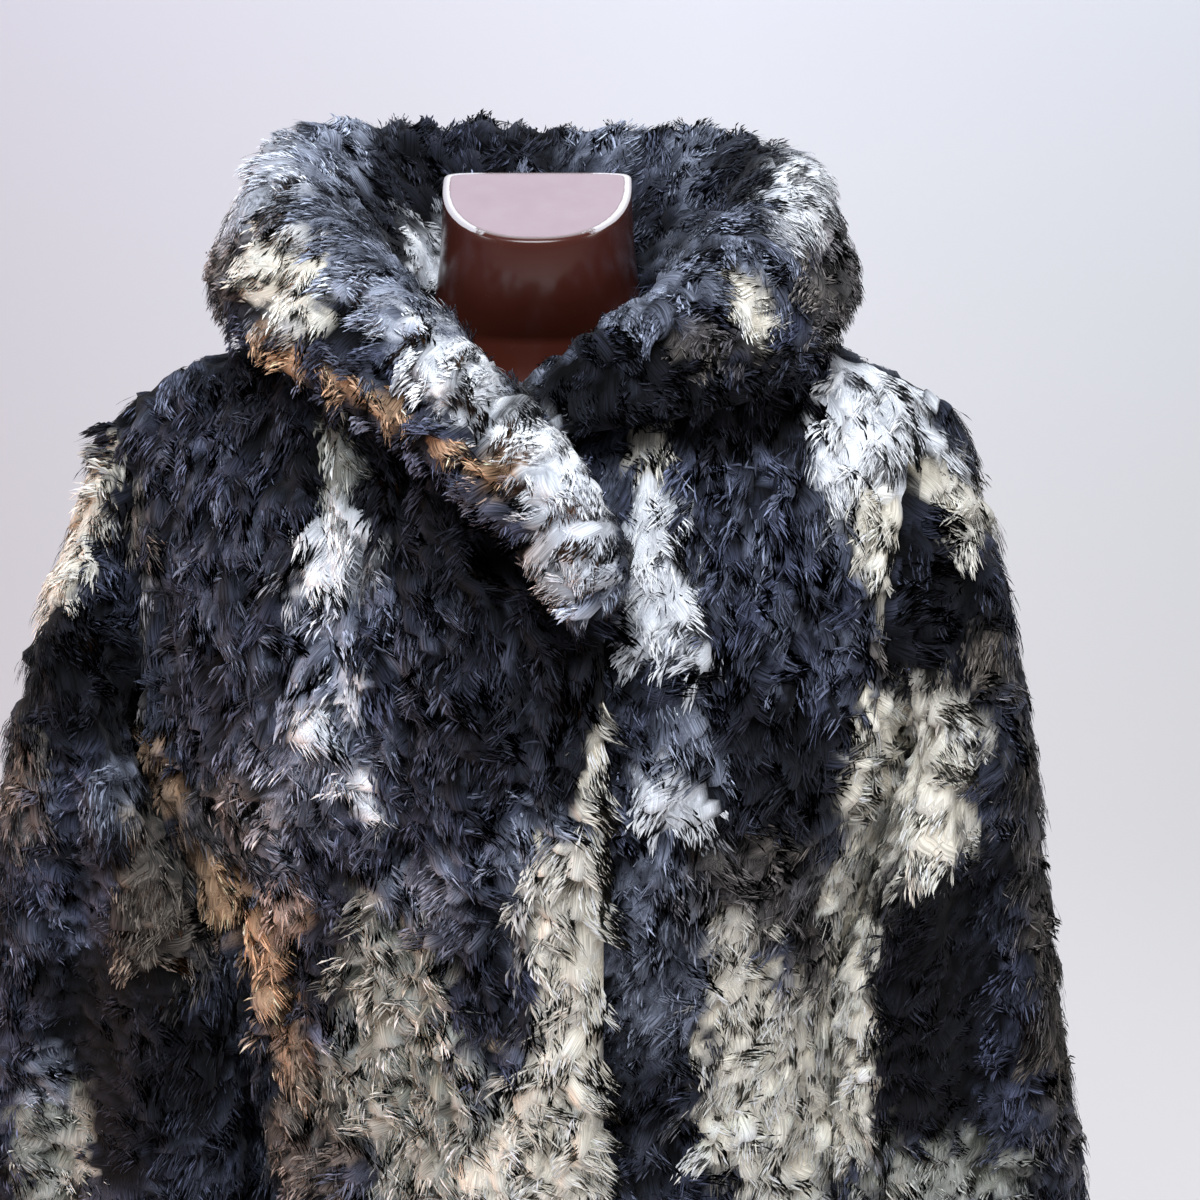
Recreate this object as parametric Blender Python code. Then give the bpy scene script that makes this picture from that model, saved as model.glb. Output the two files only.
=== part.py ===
"""A hip-length coat of shaggy fur fabric, hung on a flat-backed dress form with a pole stand.

The coat is cut as a back, two fronts that lap at the centre, two sleeves and a two-layer collar
that stands round the neck and rolls over into a lapel. The form has no limbs: a neck with a tilted
cap, sloping shoulders, a bust, a waist and a flat back, on a pole and a round base.

Metres, +Z up, origin under the pole on the floor. The front faces -Y, and the wearer's right is -X.
"""

import math

import bpy
import numpy as np

# ---------------------------------------------------------------- driving dimensions
PILE = 0.018  # backing to the tips of the fur, the thickness of a cloth wall
SEAM_GAP = 0.0003  # between pieces that are sewn together
COLLAR_GAP = 0.0009  # between the neckline and the collar
POLE_TO_RIDGE = 0.035  # the shoulder line lies this far behind the pole
OVERLAP = 0.045  # each front runs this far past the centre
PRESSED = 0.009  # thickness of the under front where the other lies on it
LIFT = 0.0110  # the upper front is raised by this over the under one
EASE_WIDTH = 0.030  # the raising is spread over this width
NECK_HALF = 0.094  # neckline to centre at the shoulder seam
LAPEL_HEIGHT = {-1: 1.085, 1: 1.130}  # the neckline meets the front edge here, by side
NECKLINE_BEND = 1.333  # 1 is a straight neckline
RIDGE_HEIGHT = 1.252  # the top of the shoulder seam at the neck
NAPE_HEIGHT = 1.228  # the neckline at the centre back
SHOULDER_SLOPE = 0.40
UNDERARM_ROW = 0.72
SQUARENESS = 2.3  # exponent of the rings: 2 is an ellipse
TUFT = 0.0035  # how far the tufts rise and sink
TUFT_LENGTH = 0.055  # from one tuft to the next
ROWS_BELOW, ROWS_ABOVE = 11, 10  # hem to underarm, underarm to shoulder seam
NECK_COLUMNS, SIDE_COLUMNS = 8, 8  # of a front: under the collar, and beside it
NAPE_COLUMNS, BACK_COLUMNS = 10, 7  # of the back: across the neck, and on each side
SLEEVE_RINGS = 19
SLEEVE_POINTS = 2 * ROWS_ABOVE
HIDDEN_COLUMNS = 2  # the under end of the collar stops this many columns before the edge

# Rings of the coat body, outside the pile. row 0 is the hem and row 1 the shoulder seam. The
# arm angles, one for each side, say where a panel ends. wider is how much more the wearer's
# right half spreads.
BODY_COLUMNS = ("row", "height", "half_width", "front", "back", "arm_right", "arm_left", "wider")
BODY_RINGS = [
    (0.000, 0.430, 0.238, 0.150, 0.128, 90, 90, 0.00),
    (0.180, 0.560, 0.222, 0.146, 0.118, 90, 90, 0.03),
    (0.360, 0.690, 0.207, 0.143, 0.110, 90, 90, 0.05),
    (0.480, 0.780, 0.203, 0.147, 0.106, 90, 90, 0.07),
    (0.600, 0.870, 0.213, 0.157, 0.105, 90, 90, 0.07),
    (0.720, 0.957, 0.231, 0.163, 0.106, 90, 90, 0.09),
    (0.800, 1.035, 0.243, 0.158, 0.107, 66, 58, 0.07),
    (0.870, 1.105, 0.250, 0.140, 0.101, 66, 57, 0.06),
    (0.925, 1.170, 0.255, 0.110, 0.088, 68, 60, 0.05),
    (0.965, 1.220, 0.257, 0.070, 0.063, 69, 65, 0.04),
    (0.987, 1.244, 0.258, 0.035, 0.032, 70, 68, 0.03),
    (1.000, 1.252, 0.258, 0.000, 0.000, 71, 69, 0.03),
]

# Long folds of the body. The angles run from 0 at the centre front over 90 at the side to 180
# at the centre back. side is -1 for the wearer's right, and a minus depth is a hollow.
FOLD_COLUMNS = ("side", "top_row", "top_angle", "low_row", "low_angle", "width", "depth")
BODY_FOLDS = [
    (-1, 0.74, 86, 0.28, 57, 14, -0.032),
    (-1, 0.74, 68, 0.28, 36, 9, 0.010),
    (1, 0.72, 78, 0.20, 72, 12, -0.010),
    (1, 0.50, 44, 0.00, 48, 12, -0.008),
    (-1, 0.24, 26, 0.00, 18, 9, -0.008),
    (-1, 0.56, 118, 0.00, 114, 14, -0.012),
    (-1, 0.60, 156, 0.00, 158, 12, -0.010),
    (1, 0.66, 142, 0.00, 146, 13, -0.012),
    (1, 0.48, 110, 0.00, 104, 12, -0.009),
]

# Sleeve rings: where the outer and inner lines of the sleeve run, its half depth from front to
# back, where its middle lies, and how deep the long hollow in its front is. The wearer's right
# sleeve swings out further, by the next two. The lining lies in the direction of the last two
# from those lines, in degrees from straight outwards.
SLEEVE_COLUMNS = (
    "ring", "outer_x", "outer_z", "inner_x", "inner_z", "depth", "middle", "hollow",
    "swing_outer", "swing_inner", "outer_turn", "inner_turn",
)
SLEEVE_LINES = [
    (0.00, 0.244, 1.189, 0.232, 0.957, 0.078, -0.010, 0.000, 0.008, 0.022, 252, 180),
    (0.06, 0.258, 1.172, 0.242, 0.967, 0.080, -0.012, 0.002, 0.008, 0.021, 235, 95),
    (0.14, 0.272, 1.132, 0.246, 0.958, 0.081, -0.018, 0.006, 0.007, 0.018, 212, 40),
    (0.24, 0.289, 1.078, 0.229, 0.930, 0.082, -0.037, 0.014, 0.012, 0.016, 200, 2),
    (0.38, 0.304, 0.993, 0.211, 0.872, 0.080, -0.056, 0.024, 0.021, 0.006, 195, -14),
    (0.54, 0.319, 0.893, 0.195, 0.804, 0.077, -0.058, 0.030, 0.028, 0.002, 190, -5),
    (0.76, 0.340, 0.763, 0.194, 0.708, 0.074, -0.058, 0.028, 0.030, 0.007, 189, 2),
    (1.00, 0.366, 0.604, 0.208, 0.586, 0.070, -0.055, 0.018, 0.026, 0.009, 188, 6),
]
FRONT_HOLLOW = (78, 30)  # angle from the outer line towards the front, and width, in degrees
BACK_HOLLOW = (215, 26)
BACK_HOLLOW_SHARE = 0.35
INSIDE_HOLLOW_SHARE = 0.6  # of the hollow, seen from the inside: the pile is pressed there

# Collar sections along the neckline: where the backing folds over and where its free edge lies.
COLLAR_COLUMNS = (
    "station", "crest_x", "crest_y", "crest_z", "edge_x", "edge_y", "edge_z", "fold", "pile",
)
COLLAR_SECTIONS = [
    (0, 0.046, -0.172, 1.108, 0.022, -0.184, 1.086, 0.011, 0.016),
    (2, 0.032, -0.165, 1.141, 0.002, -0.168, 1.105, 0.012, 0.017),
    (4, 0.003, -0.150, 1.180, -0.028, -0.152, 1.140, 0.014, 0.018),
    (6, -0.048, -0.110, 1.225, -0.083, -0.132, 1.178, 0.015, 0.019),
    (7, -0.086, -0.080, 1.252, -0.130, -0.108, 1.199, 0.015, 0.020),
    (8, -0.126, -0.038, 1.282, -0.182, -0.070, 1.218, 0.016, 0.020),
    (9, -0.156, 0.018, 1.304, -0.198, 0.010, 1.226, 0.016, 0.020),
    (10, -0.147, 0.068, 1.316, -0.174, 0.084, 1.222, 0.016, 0.020),
    (11, -0.106, 0.099, 1.317, -0.124, 0.124, 1.215, 0.016, 0.020),
    (13, 0.000, 0.113, 1.314, 0.000, 0.143, 1.212, 0.016, 0.020),
    (15, 0.106, 0.099, 1.313, 0.124, 0.124, 1.215, 0.016, 0.020),
    (16, 0.143, 0.068, 1.310, 0.171, 0.084, 1.222, 0.016, 0.020),
    (17, 0.152, 0.018, 1.300, 0.193, 0.006, 1.226, 0.016, 0.020),
    (18, 0.128, -0.034, 1.282, 0.176, -0.070, 1.214, 0.015, 0.020),
    (19, 0.098, -0.070, 1.262, 0.144, -0.102, 1.196, 0.014, 0.018),
    (20, 0.064, -0.090, 1.247, 0.095, -0.116, 1.188, 0.013, 0.016),
    (22, 0.026, -0.098, 1.226, 0.027, -0.121, 1.182, 0.010, 0.012),
    (23, 0.006, -0.089, 1.214, 0.006, -0.110, 1.181, 0.008, 0.009),
    (24, -0.008, -0.081, 1.206, -0.009, -0.103, 1.179, 0.007, 0.007),
]
UNDER_PILE = 0.45  # the hidden layer is pressed to this share of the pile
EDGE_TAPER = 0.45  # the collar thins by this share at its free edge
COLLAR_LEAN = 0.35  # 0 stands square on the cloth, more runs on along it
UNDER_LEAN = 1.6  # so much more where the left end tucks under

# The dress form: horizontal outlines with a flat back, up to the sloping shoulders.
FORM_COLUMNS = ("height", "half_width", "front", "back", "squareness", "back_squareness")
FORM_SECTIONS = [
    (0.620, 0.150, 0.102, 0.022, 2.3, 7.0),
    (0.700, 0.160, 0.112, 0.022, 2.3, 7.0),
    (0.780, 0.148, 0.104, 0.022, 2.3, 7.0),
    (0.850, 0.128, 0.094, 0.022, 2.3, 7.0),
    (0.920, 0.138, 0.112, 0.022, 2.3, 7.0),
    (0.990, 0.152, 0.130, 0.022, 2.3, 7.0),
    (1.050, 0.163, 0.124, 0.022, 2.3, 7.0),
    (1.110, 0.172, 0.098, 0.022, 2.2, 7.0),
    (1.160, 0.176, 0.068, 0.021, 1.9, 4.0),
    (1.185, 0.174, 0.056, 0.018, 1.5, 2.0),
]
SHOULDER_END = 0.172  # the sloping shoulder of the form ends this far out
SHOULDER_DEPTHS = [(0.048, 0.016), (0.028, 0.012), (0.003, 0.003)]  # front, back, going up
SHOULDER_SQUARENESS = 1.2
NECK_CAP = 1.308  # the middle of the cap
NECK_HALF_WIDTH, NECK_FRONT = 0.0575, 0.080
NECK_ROOT_HALF, NECK_ROOT_FRONT = 0.066, 0.062
NECK_BACK = 0.016
CAP_TILT = 0.26  # rise of the cap from front to back, per metre of depth
FORM_POINTS = 36
FORM_SEAT = 0.0005  # between the shoulders and the coat that lies on them

BASE_RADIUS, BASE_HEIGHT, BASE_BEVEL = 0.175, 0.012, 0.004
POLE_RADIUS = 0.0125
SOCKET_RADIUS, SOCKET_HEIGHT, SOCKET_WALL = 0.045, 0.030, 0.006
STAND_GAP = 0.0003
FORM_BOTTOM = FORM_SECTIONS[0][0]

# The material of each node: its name, colour, roughness and metallic share.
MATERIALS = {
    "back": ("back_fur", (0.12, 0.12, 0.14), 0.9, 0),
    "front_right": ("front_right_fur", (0.13, 0.13, 0.15), 0.9, 0),
    "front_left": ("front_left_fur", (0.13, 0.13, 0.15), 0.9, 0),
    "sleeve_right": ("sleeve_right_fur", (0.12, 0.12, 0.14), 0.9, 0),
    "sleeve_left": ("sleeve_left_fur", (0.12, 0.12, 0.14), 0.9, 0),
    "collar_upper": ("collar_upper_fur", (0.22, 0.22, 0.25), 0.9, 0),
    "collar_under": ("collar_under_fur", (0.06, 0.06, 0.07), 0.9, 0),
    "dress_form": ("brown_plastic", (0.12, 0.03, 0.02), 0.25, 0),
    "stand_pole": ("bright_steel", (0.62, 0.62, 0.64), 0.2, 1),
    "stand_socket": ("socket_steel", (0.58, 0.58, 0.60), 0.3, 1),
    "stand_base": ("painted_base", (0.55, 0.55, 0.56), 0.4, 0),
}


# ---------------------------------------------------------------- tables and curves
def column(table, names, wanted):
    return np.array([row[names.index(wanted)] for row in table], float)


def curve_through(xs, ys, at, flat_end=False):
    """A smooth curve through the points that doesn't overshoot between them."""
    step, rise = np.diff(xs), np.diff(ys)
    slope = rise / step
    both = slope[:-1] * slope[1:]
    total = slope[:-1] + slope[1:]
    inner = np.where(both > 0, 2 * both / np.where(both > 0, total, 1), 0)
    tangent = np.concatenate([slope[:1], inner, [0.0 if flat_end else slope[-1]]])
    at = np.asarray(at, float)
    i = np.clip(np.searchsorted(xs, at, side="right") - 1, 0, len(step) - 1)
    h, t = step[i], (at - xs[i]) / step[i]
    return (
        (2 * t**3 - 3 * t**2 + 1) * ys[i]
        + (t**3 - 2 * t**2 + t) * h * tangent[i]
        + (3 * t**2 - 2 * t**3) * ys[i + 1]
        + (t**3 - t**2) * h * tangent[i + 1]
    )


def looked_up(table, names, wanted, at, flat_end=False):
    return curve_through(
        column(table, names, names[0]), column(table, names, wanted), at, flat_end
    )


def smooth_step(low, high, value):
    t = np.clip((value - low) / (high - low), 0, 1)
    return t * t * (3 - 2 * t)


def unit(vectors):
    return vectors / np.linalg.norm(vectors, axis=-1, keepdims=True)


def tufts(points):
    """Uneven tufts, from -1 to 1, as waves that run several ways through each other."""
    x, y, z = (2 * math.pi / TUFT_LENGTH * points[..., axis] for axis in range(3))
    return (
        np.sin(x + 1.7 * np.sin(0.43 * z)) * np.sin(0.81 * z + 1.3 * np.sin(0.37 * x + 0.9 * y))
        + np.sin(0.9 * y + 0.6 * z + 2.0) * np.sin(0.55 * x - 0.95 * z + 0.7)
    ) / 1.6


# ---------------------------------------------------------------- the coat body as a surface
def ring_at(row):
    """The sizes of the ring at a row of the coat body."""
    return {
        name: looked_up(BODY_RINGS, BODY_COLUMNS, name, row, flat_end=name == "height")
        for name in BODY_COLUMNS[1:]
    }


def angle_at(x, row):
    """The angle from the centre of a face at which the ring of a row is x from the middle."""
    ring = ring_at(row)
    reach = ring["half_width"] * (1 + ring["wider"] * (np.asarray(x) < 0))
    share = np.clip(np.abs(x) / reach, 0, 1) ** (SQUARENESS / 2)
    return np.sign(x) * np.arcsin(share)


def plain_point(angle, row, face):
    """A body point without its folds. Past a side or the ridge it runs on to the other face."""
    over = row > 1
    row = np.where(over, 2 - row, row)
    past = np.abs(angle) > math.pi / 2
    face = face * np.where(over, -1, 1) * np.where(past, -1, 1)
    angle = np.where(past, np.sign(angle) * math.pi - angle, angle)
    ring = ring_at(row)
    power = 2 / SQUARENESS
    reach = ring["half_width"] * (1 + ring["wider"] * (angle < 0))
    x = reach * np.sign(angle) * np.abs(np.sin(angle)) ** power
    depth = np.where(face < 0, ring["front"], ring["back"])
    y = face * depth * np.abs(np.cos(angle)) ** power
    beyond_neck = np.maximum(np.abs(x) - NECK_HALF, 0)
    fade = smooth_step(ring_at(UNDERARM_ROW)["height"], RIDGE_HEIGHT, ring["height"])
    return np.stack([x, y, ring["height"] - SHOULDER_SLOPE * beyond_neck * fade], -1)


def normal_of(point, angle, row, face):
    """The outward direction of a surface given as a function of angle, row and face."""
    d_angle, d_row = 2e-3, 5e-4
    across = point(angle + d_angle, row, face) - point(angle - d_angle, row, face)
    up = point(angle, row + d_row, face) - point(angle, row - d_row, face)
    return unit(np.cross(across, up)) * np.where(face < 0, 1, -1)[..., None]


def fold_depth(angle, row, face):
    """How far the long folds move the cloth out, as a function of angle, row and face."""
    turn = np.where(face < 0, np.abs(angle), math.pi - np.abs(angle))
    depth = np.zeros(np.shape(angle))
    for fold in BODY_FOLDS:
        f = dict(zip(FOLD_COLUMNS, fold))
        along = (row - f["low_row"]) / (f["top_row"] - f["low_row"])
        middle = np.radians(f["low_angle"] + (f["top_angle"] - f["low_angle"]) * along)
        away = (turn - middle) / math.radians(f["width"])
        ends = smooth_step(1.0, 0.6, along) * smooth_step(-0.4, 0.3, along)
        depth += f["depth"] * ends * np.exp(-(away**2)) * (np.sign(angle) == f["side"])
    return depth


def body_point(angle, row, face):
    angle, row, face = np.broadcast_arrays(
        np.asarray(angle, float), np.asarray(row, float), np.asarray(face)
    )
    point = plain_point(angle, row, face)
    out = normal_of(plain_point, angle, row, face)
    return point + out * fold_depth(angle, row, face)[..., None]


def body_grid(angle, row, face, raised, thick, tufted):
    """(outer points, inner points) of a wall over the grid of angles and rows."""
    point = body_point(angle, row, face)
    out = normal_of(body_point, angle, row, np.broadcast_to(face, angle.shape))
    relief = TUFT * tufted * tufts(point)
    outer = point + out * (raised + relief)[..., None]
    inner = point + out * (raised - thick)[..., None]
    return outer, inner, out


def lean_neckline(outer, inner, out, columns, at_shoulder, lean, free=None):
    """Turns the end of the wall along the neckline so that the collar can stand on it.

    at_shoulder are the points of the neckline on a shoulder seam, where it runs from front to
    back, and free is the point at the front edge, where it runs across. With lean 0 the collar
    stands square on the cloth, and with more it runs on along it.
    """
    edge, normal = outer[-1, columns], out[-1, columns]
    thick = np.linalg.norm(edge - inner[-1, columns], axis=1, keepdims=True)
    tangent = unit(np.gradient(edge, axis=0))
    tangent[at_shoulder] = (0, 1, 0)
    if free is not None:
        tangent[free] = (1, 0, 0)
    level = unit(np.cross(tangent, normal))
    neck = np.array([0, -0.02, RIDGE_HEIGHT])
    level *= np.sign(((neck - edge) * level).sum(-1))[:, None]
    inner[-1, columns] = edge + thick * unit(level - np.reshape(lean, (-1, 1)) * normal)


def neckline_height(s, side):
    """Height of a front's neckline, s towards its own side from the centre."""
    share = np.clip((s + OVERLAP) / (NECK_HALF + OVERLAP), 0, 1)
    low = LAPEL_HEIGHT[side]
    return low + (RIDGE_HEIGHT - low) * share**NECKLINE_BEND


def row_at_height(height):
    rows = np.linspace(0.5, 1, 1000)
    return np.interp(height, ring_at(rows)["height"], rows)


def row_list():
    below = np.linspace(0, UNDERARM_ROW, ROWS_BELOW + 1)
    left = np.linspace(1, 0, ROWS_ABOVE + 1)[1:] ** 1.3
    return np.concatenate([below, 1 - (1 - UNDERARM_ROW) * left])


def arm_angle(row, side):
    """The angle at which a panel ends: its side seam, and its armhole above that."""
    name = "arm_right" if side < 0 else "arm_left"
    first = 0.80
    rounding = np.clip((row - UNDERARM_ROW) / (first - UNDERARM_ROW), 0, 1)
    above = looked_up(BODY_RINGS, BODY_COLUMNS, name, np.maximum(row, first))
    return side * np.radians(90 - (90 - above) * np.sqrt(rounding))


def column_to_side(share, side, rows):
    """Angles of a column between the neck column, share 0, and the side, share 1."""
    first = angle_at(np.full(len(rows), side * NECK_HALF), rows)
    return first + (arm_angle(rows, side) - first) * share


def front_grid(side):
    """Angles and rows of a front, from its front edge to its side."""
    rows = row_list()
    angles, all_rows = [], []
    for c in range(NECK_COLUMNS):
        s = -OVERLAP + (NECK_HALF + OVERLAP) * c / NECK_COLUMNS
        row = rows * row_at_height(neckline_height(s, side))
        angles.append(angle_at(np.full(len(row), side * s), row))
        all_rows.append(row)
    for c in range(SIDE_COLUMNS + 1):
        angles.append(column_to_side(c / SIDE_COLUMNS, side, rows))
        all_rows.append(rows)
    return np.stack(angles, 1), np.stack(all_rows, 1)


def back_grid():
    """Angles and rows of the back, from the wearer's right side to the left."""
    rows = row_list()
    angles, all_rows = [], []
    half = NAPE_COLUMNS // 2
    drop = 1 - row_at_height(NAPE_HEIGHT)
    for c in range(BACK_COLUMNS, 0, -1):
        angles.append(column_to_side(c / BACK_COLUMNS, -1, rows))
        all_rows.append(rows)
    for c in range(-half, half + 1):
        row = rows * (1 - drop * math.sqrt(1 - (c / half) ** 2))
        angles.append(angle_at(np.full(len(row), NECK_HALF * c / half), row))
        all_rows.append(row)
    for c in range(1, BACK_COLUMNS + 1):
        angles.append(column_to_side(c / BACK_COLUMNS, 1, rows))
        all_rows.append(rows)
    return np.stack(angles, 1), np.stack(all_rows, 1)


# ---------------------------------------------------------------- meshes
def move(points):
    return points + np.array([0, POLE_TO_RIDGE, 0])


def make_object(name, vertices, faces):
    mesh = bpy.data.meshes.new(name)
    mesh.from_pydata([tuple(v) for v in vertices], [], faces)
    mesh.validate()
    mesh.materials.append(make_material(name))
    mesh.shade_smooth()
    made = bpy.data.objects.new(name, mesh)
    bpy.context.scene.collection.objects.link(made)
    return made


def wall(name, outer, inner, closed=False, inside_out=False, flips=None):
    """A closed wall between two grids of points [rows, columns].

    closed joins the last column to the first. flips holds sets of the segments of an edge
    ("low", "top") whose faces are split the other way, to match the piece that is sewn there.
    """
    rows, columns = outer.shape[:2]
    count = rows * columns
    flips = flips or {}

    def at(r, c, layer):
        return layer * count + r * columns + c % columns

    faces = []
    spans = columns if closed else columns - 1
    for r in range(rows - 1):
        for c in range(spans):
            for layer in (0, 1):
                a, b = at(r, c, layer), at(r, c + 1, layer)
                d, e = at(r + 1, c, layer), at(r + 1, c + 1, layer)
                faces += [[a, b, e], [a, e, d]] if layer == 0 else [[a, e, b], [a, d, e]]

    def strip(a, b, a_in, b_in, flip):
        """Two triangles across the thickness, from a to b along the edge."""
        if flip:
            return [[a, a_in, b], [a_in, b_in, b]]
        return [[a, a_in, b_in], [a, b_in, b]]

    for c in range(spans):
        a, b = at(0, c, 0), at(0, c + 1, 0)
        faces += strip(a, b, at(0, c, 1), at(0, c + 1, 1), c in flips.get("low", ()))
        a, b = at(rows - 1, c, 0), at(rows - 1, c + 1, 0)
        top = strip(a, b, at(rows - 1, c, 1), at(rows - 1, c + 1, 1), c in flips.get("top", ()))
        faces += [face[::-1] for face in top]
    if not closed:
        for r in range(rows - 1):
            left = strip(at(r, 0, 0), at(r + 1, 0, 0), at(r, 0, 1), at(r + 1, 0, 1), False)
            faces += [face[::-1] for face in left]
            c = columns - 1
            faces += strip(at(r, c, 0), at(r + 1, c, 0), at(r, c, 1), at(r + 1, c, 1), False)
    if inside_out:
        faces = [face[::-1] for face in faces]
    vertices = np.concatenate([outer.reshape(-1, 3), inner.reshape(-1, 3)])
    return make_object(name, move(vertices), faces)


# ---------------------------------------------------------------- the fronts and the back
def open_seams(grids, side_columns, face):
    """Leaves the seam gaps: along the side and shoulder seams and at the armhole."""
    half = SEAM_GAP / 2
    for grid in grids:
        for c, side in side_columns.items():
            grid[:, c, 1] += face * half
            grid[ROWS_BELOW:, c, 0] -= side * half
        grid[-1, :, 1] += face * half


def make_front(name, side):
    angle, row = front_grid(side)
    s = side * body_point(angle, row, -1)[..., 0]
    lapped = smooth_step(OVERLAP + EASE_WIDTH, OVERLAP + 0.003, s)
    seam_fade = smooth_step(0, 0.02, 1 - row)
    if side < 0:
        raised, thick, tufted = LIFT * lapped, PILE, 1 - 0.6 * lapped
    else:
        raised = -(PILE - PRESSED) * lapped
        thick, tufted = PILE + raised, 1 - lapped
    outer, inner, out = body_grid(angle, row, -1, raised, thick, tufted * seam_fade)
    from_edge = np.linspace(0, 1, NECK_COLUMNS + 1)
    lean = COLLAR_LEAN + (UNDER_LEAN if side > 0 else 0) * smooth_step(1, 0.4, from_edge)
    lean_neckline(outer, inner, out, slice(0, NECK_COLUMNS + 1), [NECK_COLUMNS], lean, free=0)
    open_seams((outer, inner), {angle.shape[1] - 1: side}, -1)
    flips = {"top": set(range(NECK_COLUMNS)) if side > 0 else ()}
    wall(name, outer, inner, inside_out=side < 0, flips=flips)
    return outer, inner


def make_back():
    angle, row = back_grid()
    seam_fade = smooth_step(0, 0.02, 1 - row)
    outer, inner, out = body_grid(angle, row, 1, np.zeros_like(angle), PILE, seam_fade)
    nape = slice(BACK_COLUMNS, BACK_COLUMNS + NAPE_COLUMNS + 1)
    lean_neckline(outer, inner, out, nape, [0, NAPE_COLUMNS], COLLAR_LEAN)
    open_seams((outer, inner), {0: -1, angle.shape[1] - 1: 1}, 1)
    flips = {"top": set(range(BACK_COLUMNS))}
    wall("back", outer, inner, inside_out=True, flips=flips)
    return outer, inner


# ---------------------------------------------------------------- the sleeves
def sleeve_ring(ring, side, angles, inset):
    """The points of one ring, this far inside the pile, and the frame that they lie in."""
    f = {name: looked_up(SLEEVE_LINES, SLEEVE_COLUMNS, name, ring) for name in SLEEVE_COLUMNS[1:]}
    swing = 1 if side < 0 else 0
    lines = []
    for name in ("outer", "inner"):
        turn = math.radians(f[name + "_turn"])
        x = f[name + "_x"] + swing * f["swing_" + name] + inset * math.cos(turn)
        lines.append(np.array([side * x, 0, f[name + "_z"] + inset * math.sin(turn)]))
    outside, inside = lines
    centre = (outside + inside) / 2 + np.array([0, f["middle"], 0])
    to_outside = unit(outside - inside)
    to_front = np.array([0, -1.0, 0])
    half = np.linalg.norm(outside - inside) / 2
    depth = f["depth"] - inset
    degrees = np.degrees(angles)
    before = np.exp(-(((degrees - FRONT_HOLLOW[0]) / FRONT_HOLLOW[1]) ** 2))
    behind = np.exp(-(((degrees - BACK_HOLLOW[0]) / BACK_HOLLOW[1]) ** 2))
    pinch = f["hollow"] * (before + BACK_HOLLOW_SHARE * behind)
    pinch *= 1 - (1 - INSIDE_HOLLOW_SHARE) * inset / PILE
    power = 2 / 2.2
    across = np.sign(np.cos(angles)) * np.abs(np.cos(angles)) ** power * half
    forward = np.sign(np.sin(angles)) * np.abs(np.sin(angles)) ** power * depth
    length = np.hypot(across, forward)
    keep = (length - pinch) / length
    points = centre + (across * keep)[:, None] * to_outside + (forward * keep)[:, None] * to_front
    return points, np.array([to_outside, to_front, np.cross(to_outside, to_front)])


def armhole(front, back, side):
    """The first ring of a sleeve, from the shoulder seam down the front and up the back."""
    edge = 0 if side < 0 else -1
    f, b = front[ROWS_BELOW:, -1], back[ROWS_BELOW:, edge]
    ring = np.concatenate([[(f[-1] + b[-1]) / 2], f[-2:0:-1], [(f[0] + b[0]) / 2], b[1:-1]])
    return ring + np.array([side * SEAM_GAP, 0, 0])


def make_sleeve(name, side, front, back):
    """A tube from the armhole to the cuff. Its first ring lies on the edges of front and back."""
    angles = np.linspace(0, 2 * math.pi, SLEEVE_POINTS, endpoint=False)
    positions = np.linspace(0, 1, SLEEVE_RINGS + 1) ** 1.25
    layers = []
    for layer, inset, settled in ((0, 0.0, 0.30), (1, PILE, 0.26)):
        first = armhole(front[layer], back[layer], side)
        start, frame = sleeve_ring(0.0, side, angles, inset)
        local = (first - start) @ frame.T
        rings = []
        for ring in positions:
            points, axes = sleeve_ring(ring, side, angles, inset)
            rings.append(points + (1 - smooth_step(0, settled, ring)) * local @ axes)
        layers.append(np.array(rings))
    outer, inner = layers
    relief = TUFT * tufts(outer) * smooth_step(0.05, 0.25, positions)[:, None]
    outer = outer + unit(outer - inner) * relief[..., None]
    flips = {"low": set(range(ROWS_ABOVE))}
    wall(name, outer, inner, closed=True, inside_out=side < 0, flips=flips)


# ---------------------------------------------------------------- the collar
def neckline(front_right, front_left, back):
    """(outer points, inner points) along the neckline, from the right front edge to the left."""
    found = []
    for layer in (0, 1):
        right = front_right[layer][-1, : NECK_COLUMNS + 1]
        left = front_left[layer][-1, : NECK_COLUMNS + 1]
        nape = back[layer][-1, BACK_COLUMNS : BACK_COLUMNS + NAPE_COLUMNS + 1]
        ends = [(right[-1] + nape[0]) / 2], [(left[-1] + nape[-1]) / 2]
        shown_left = left[-2 : HIDDEN_COLUMNS - 1 : -1]
        found.append(np.concatenate([right[:-1], ends[0], nape[1:-1], ends[1], shown_left]))
    return found


def collar_backing(base, leaving, crest, edge, fold):
    """The line between the layers of the collar: up its stand, over the fold, down the fall."""
    rise, fall = unit(crest - base), unit(edge - crest)
    turn = math.acos(float(rise @ fall))
    side = unit(fall - (fall @ rise) * rise)

    def on_fold(angle):
        return fold * (math.sin(angle) * rise - math.cos(angle) * side)

    centre = crest - on_fold(turn / 2)
    first, last = centre + on_fold(0), centre + on_fold(turn)
    reach = np.linalg.norm(first - base)
    points = []
    for t in (0, 0.33, 0.66):
        points.append(
            (2 * t**3 - 3 * t**2 + 1) * base
            + (t**3 - 2 * t**2 + t) * reach * leaving * 0.6
            + (3 * t**2 - 2 * t**3) * first
            + (t**3 - t**2) * reach * rise
        )
    points += [centre + on_fold(turn * share) for share in (0, 0.25, 0.5, 0.75, 1)]
    points += [last + (edge - last) * t for t in (0.25, 0.5, 0.75, 1.0)]
    return np.array(points)


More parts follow.
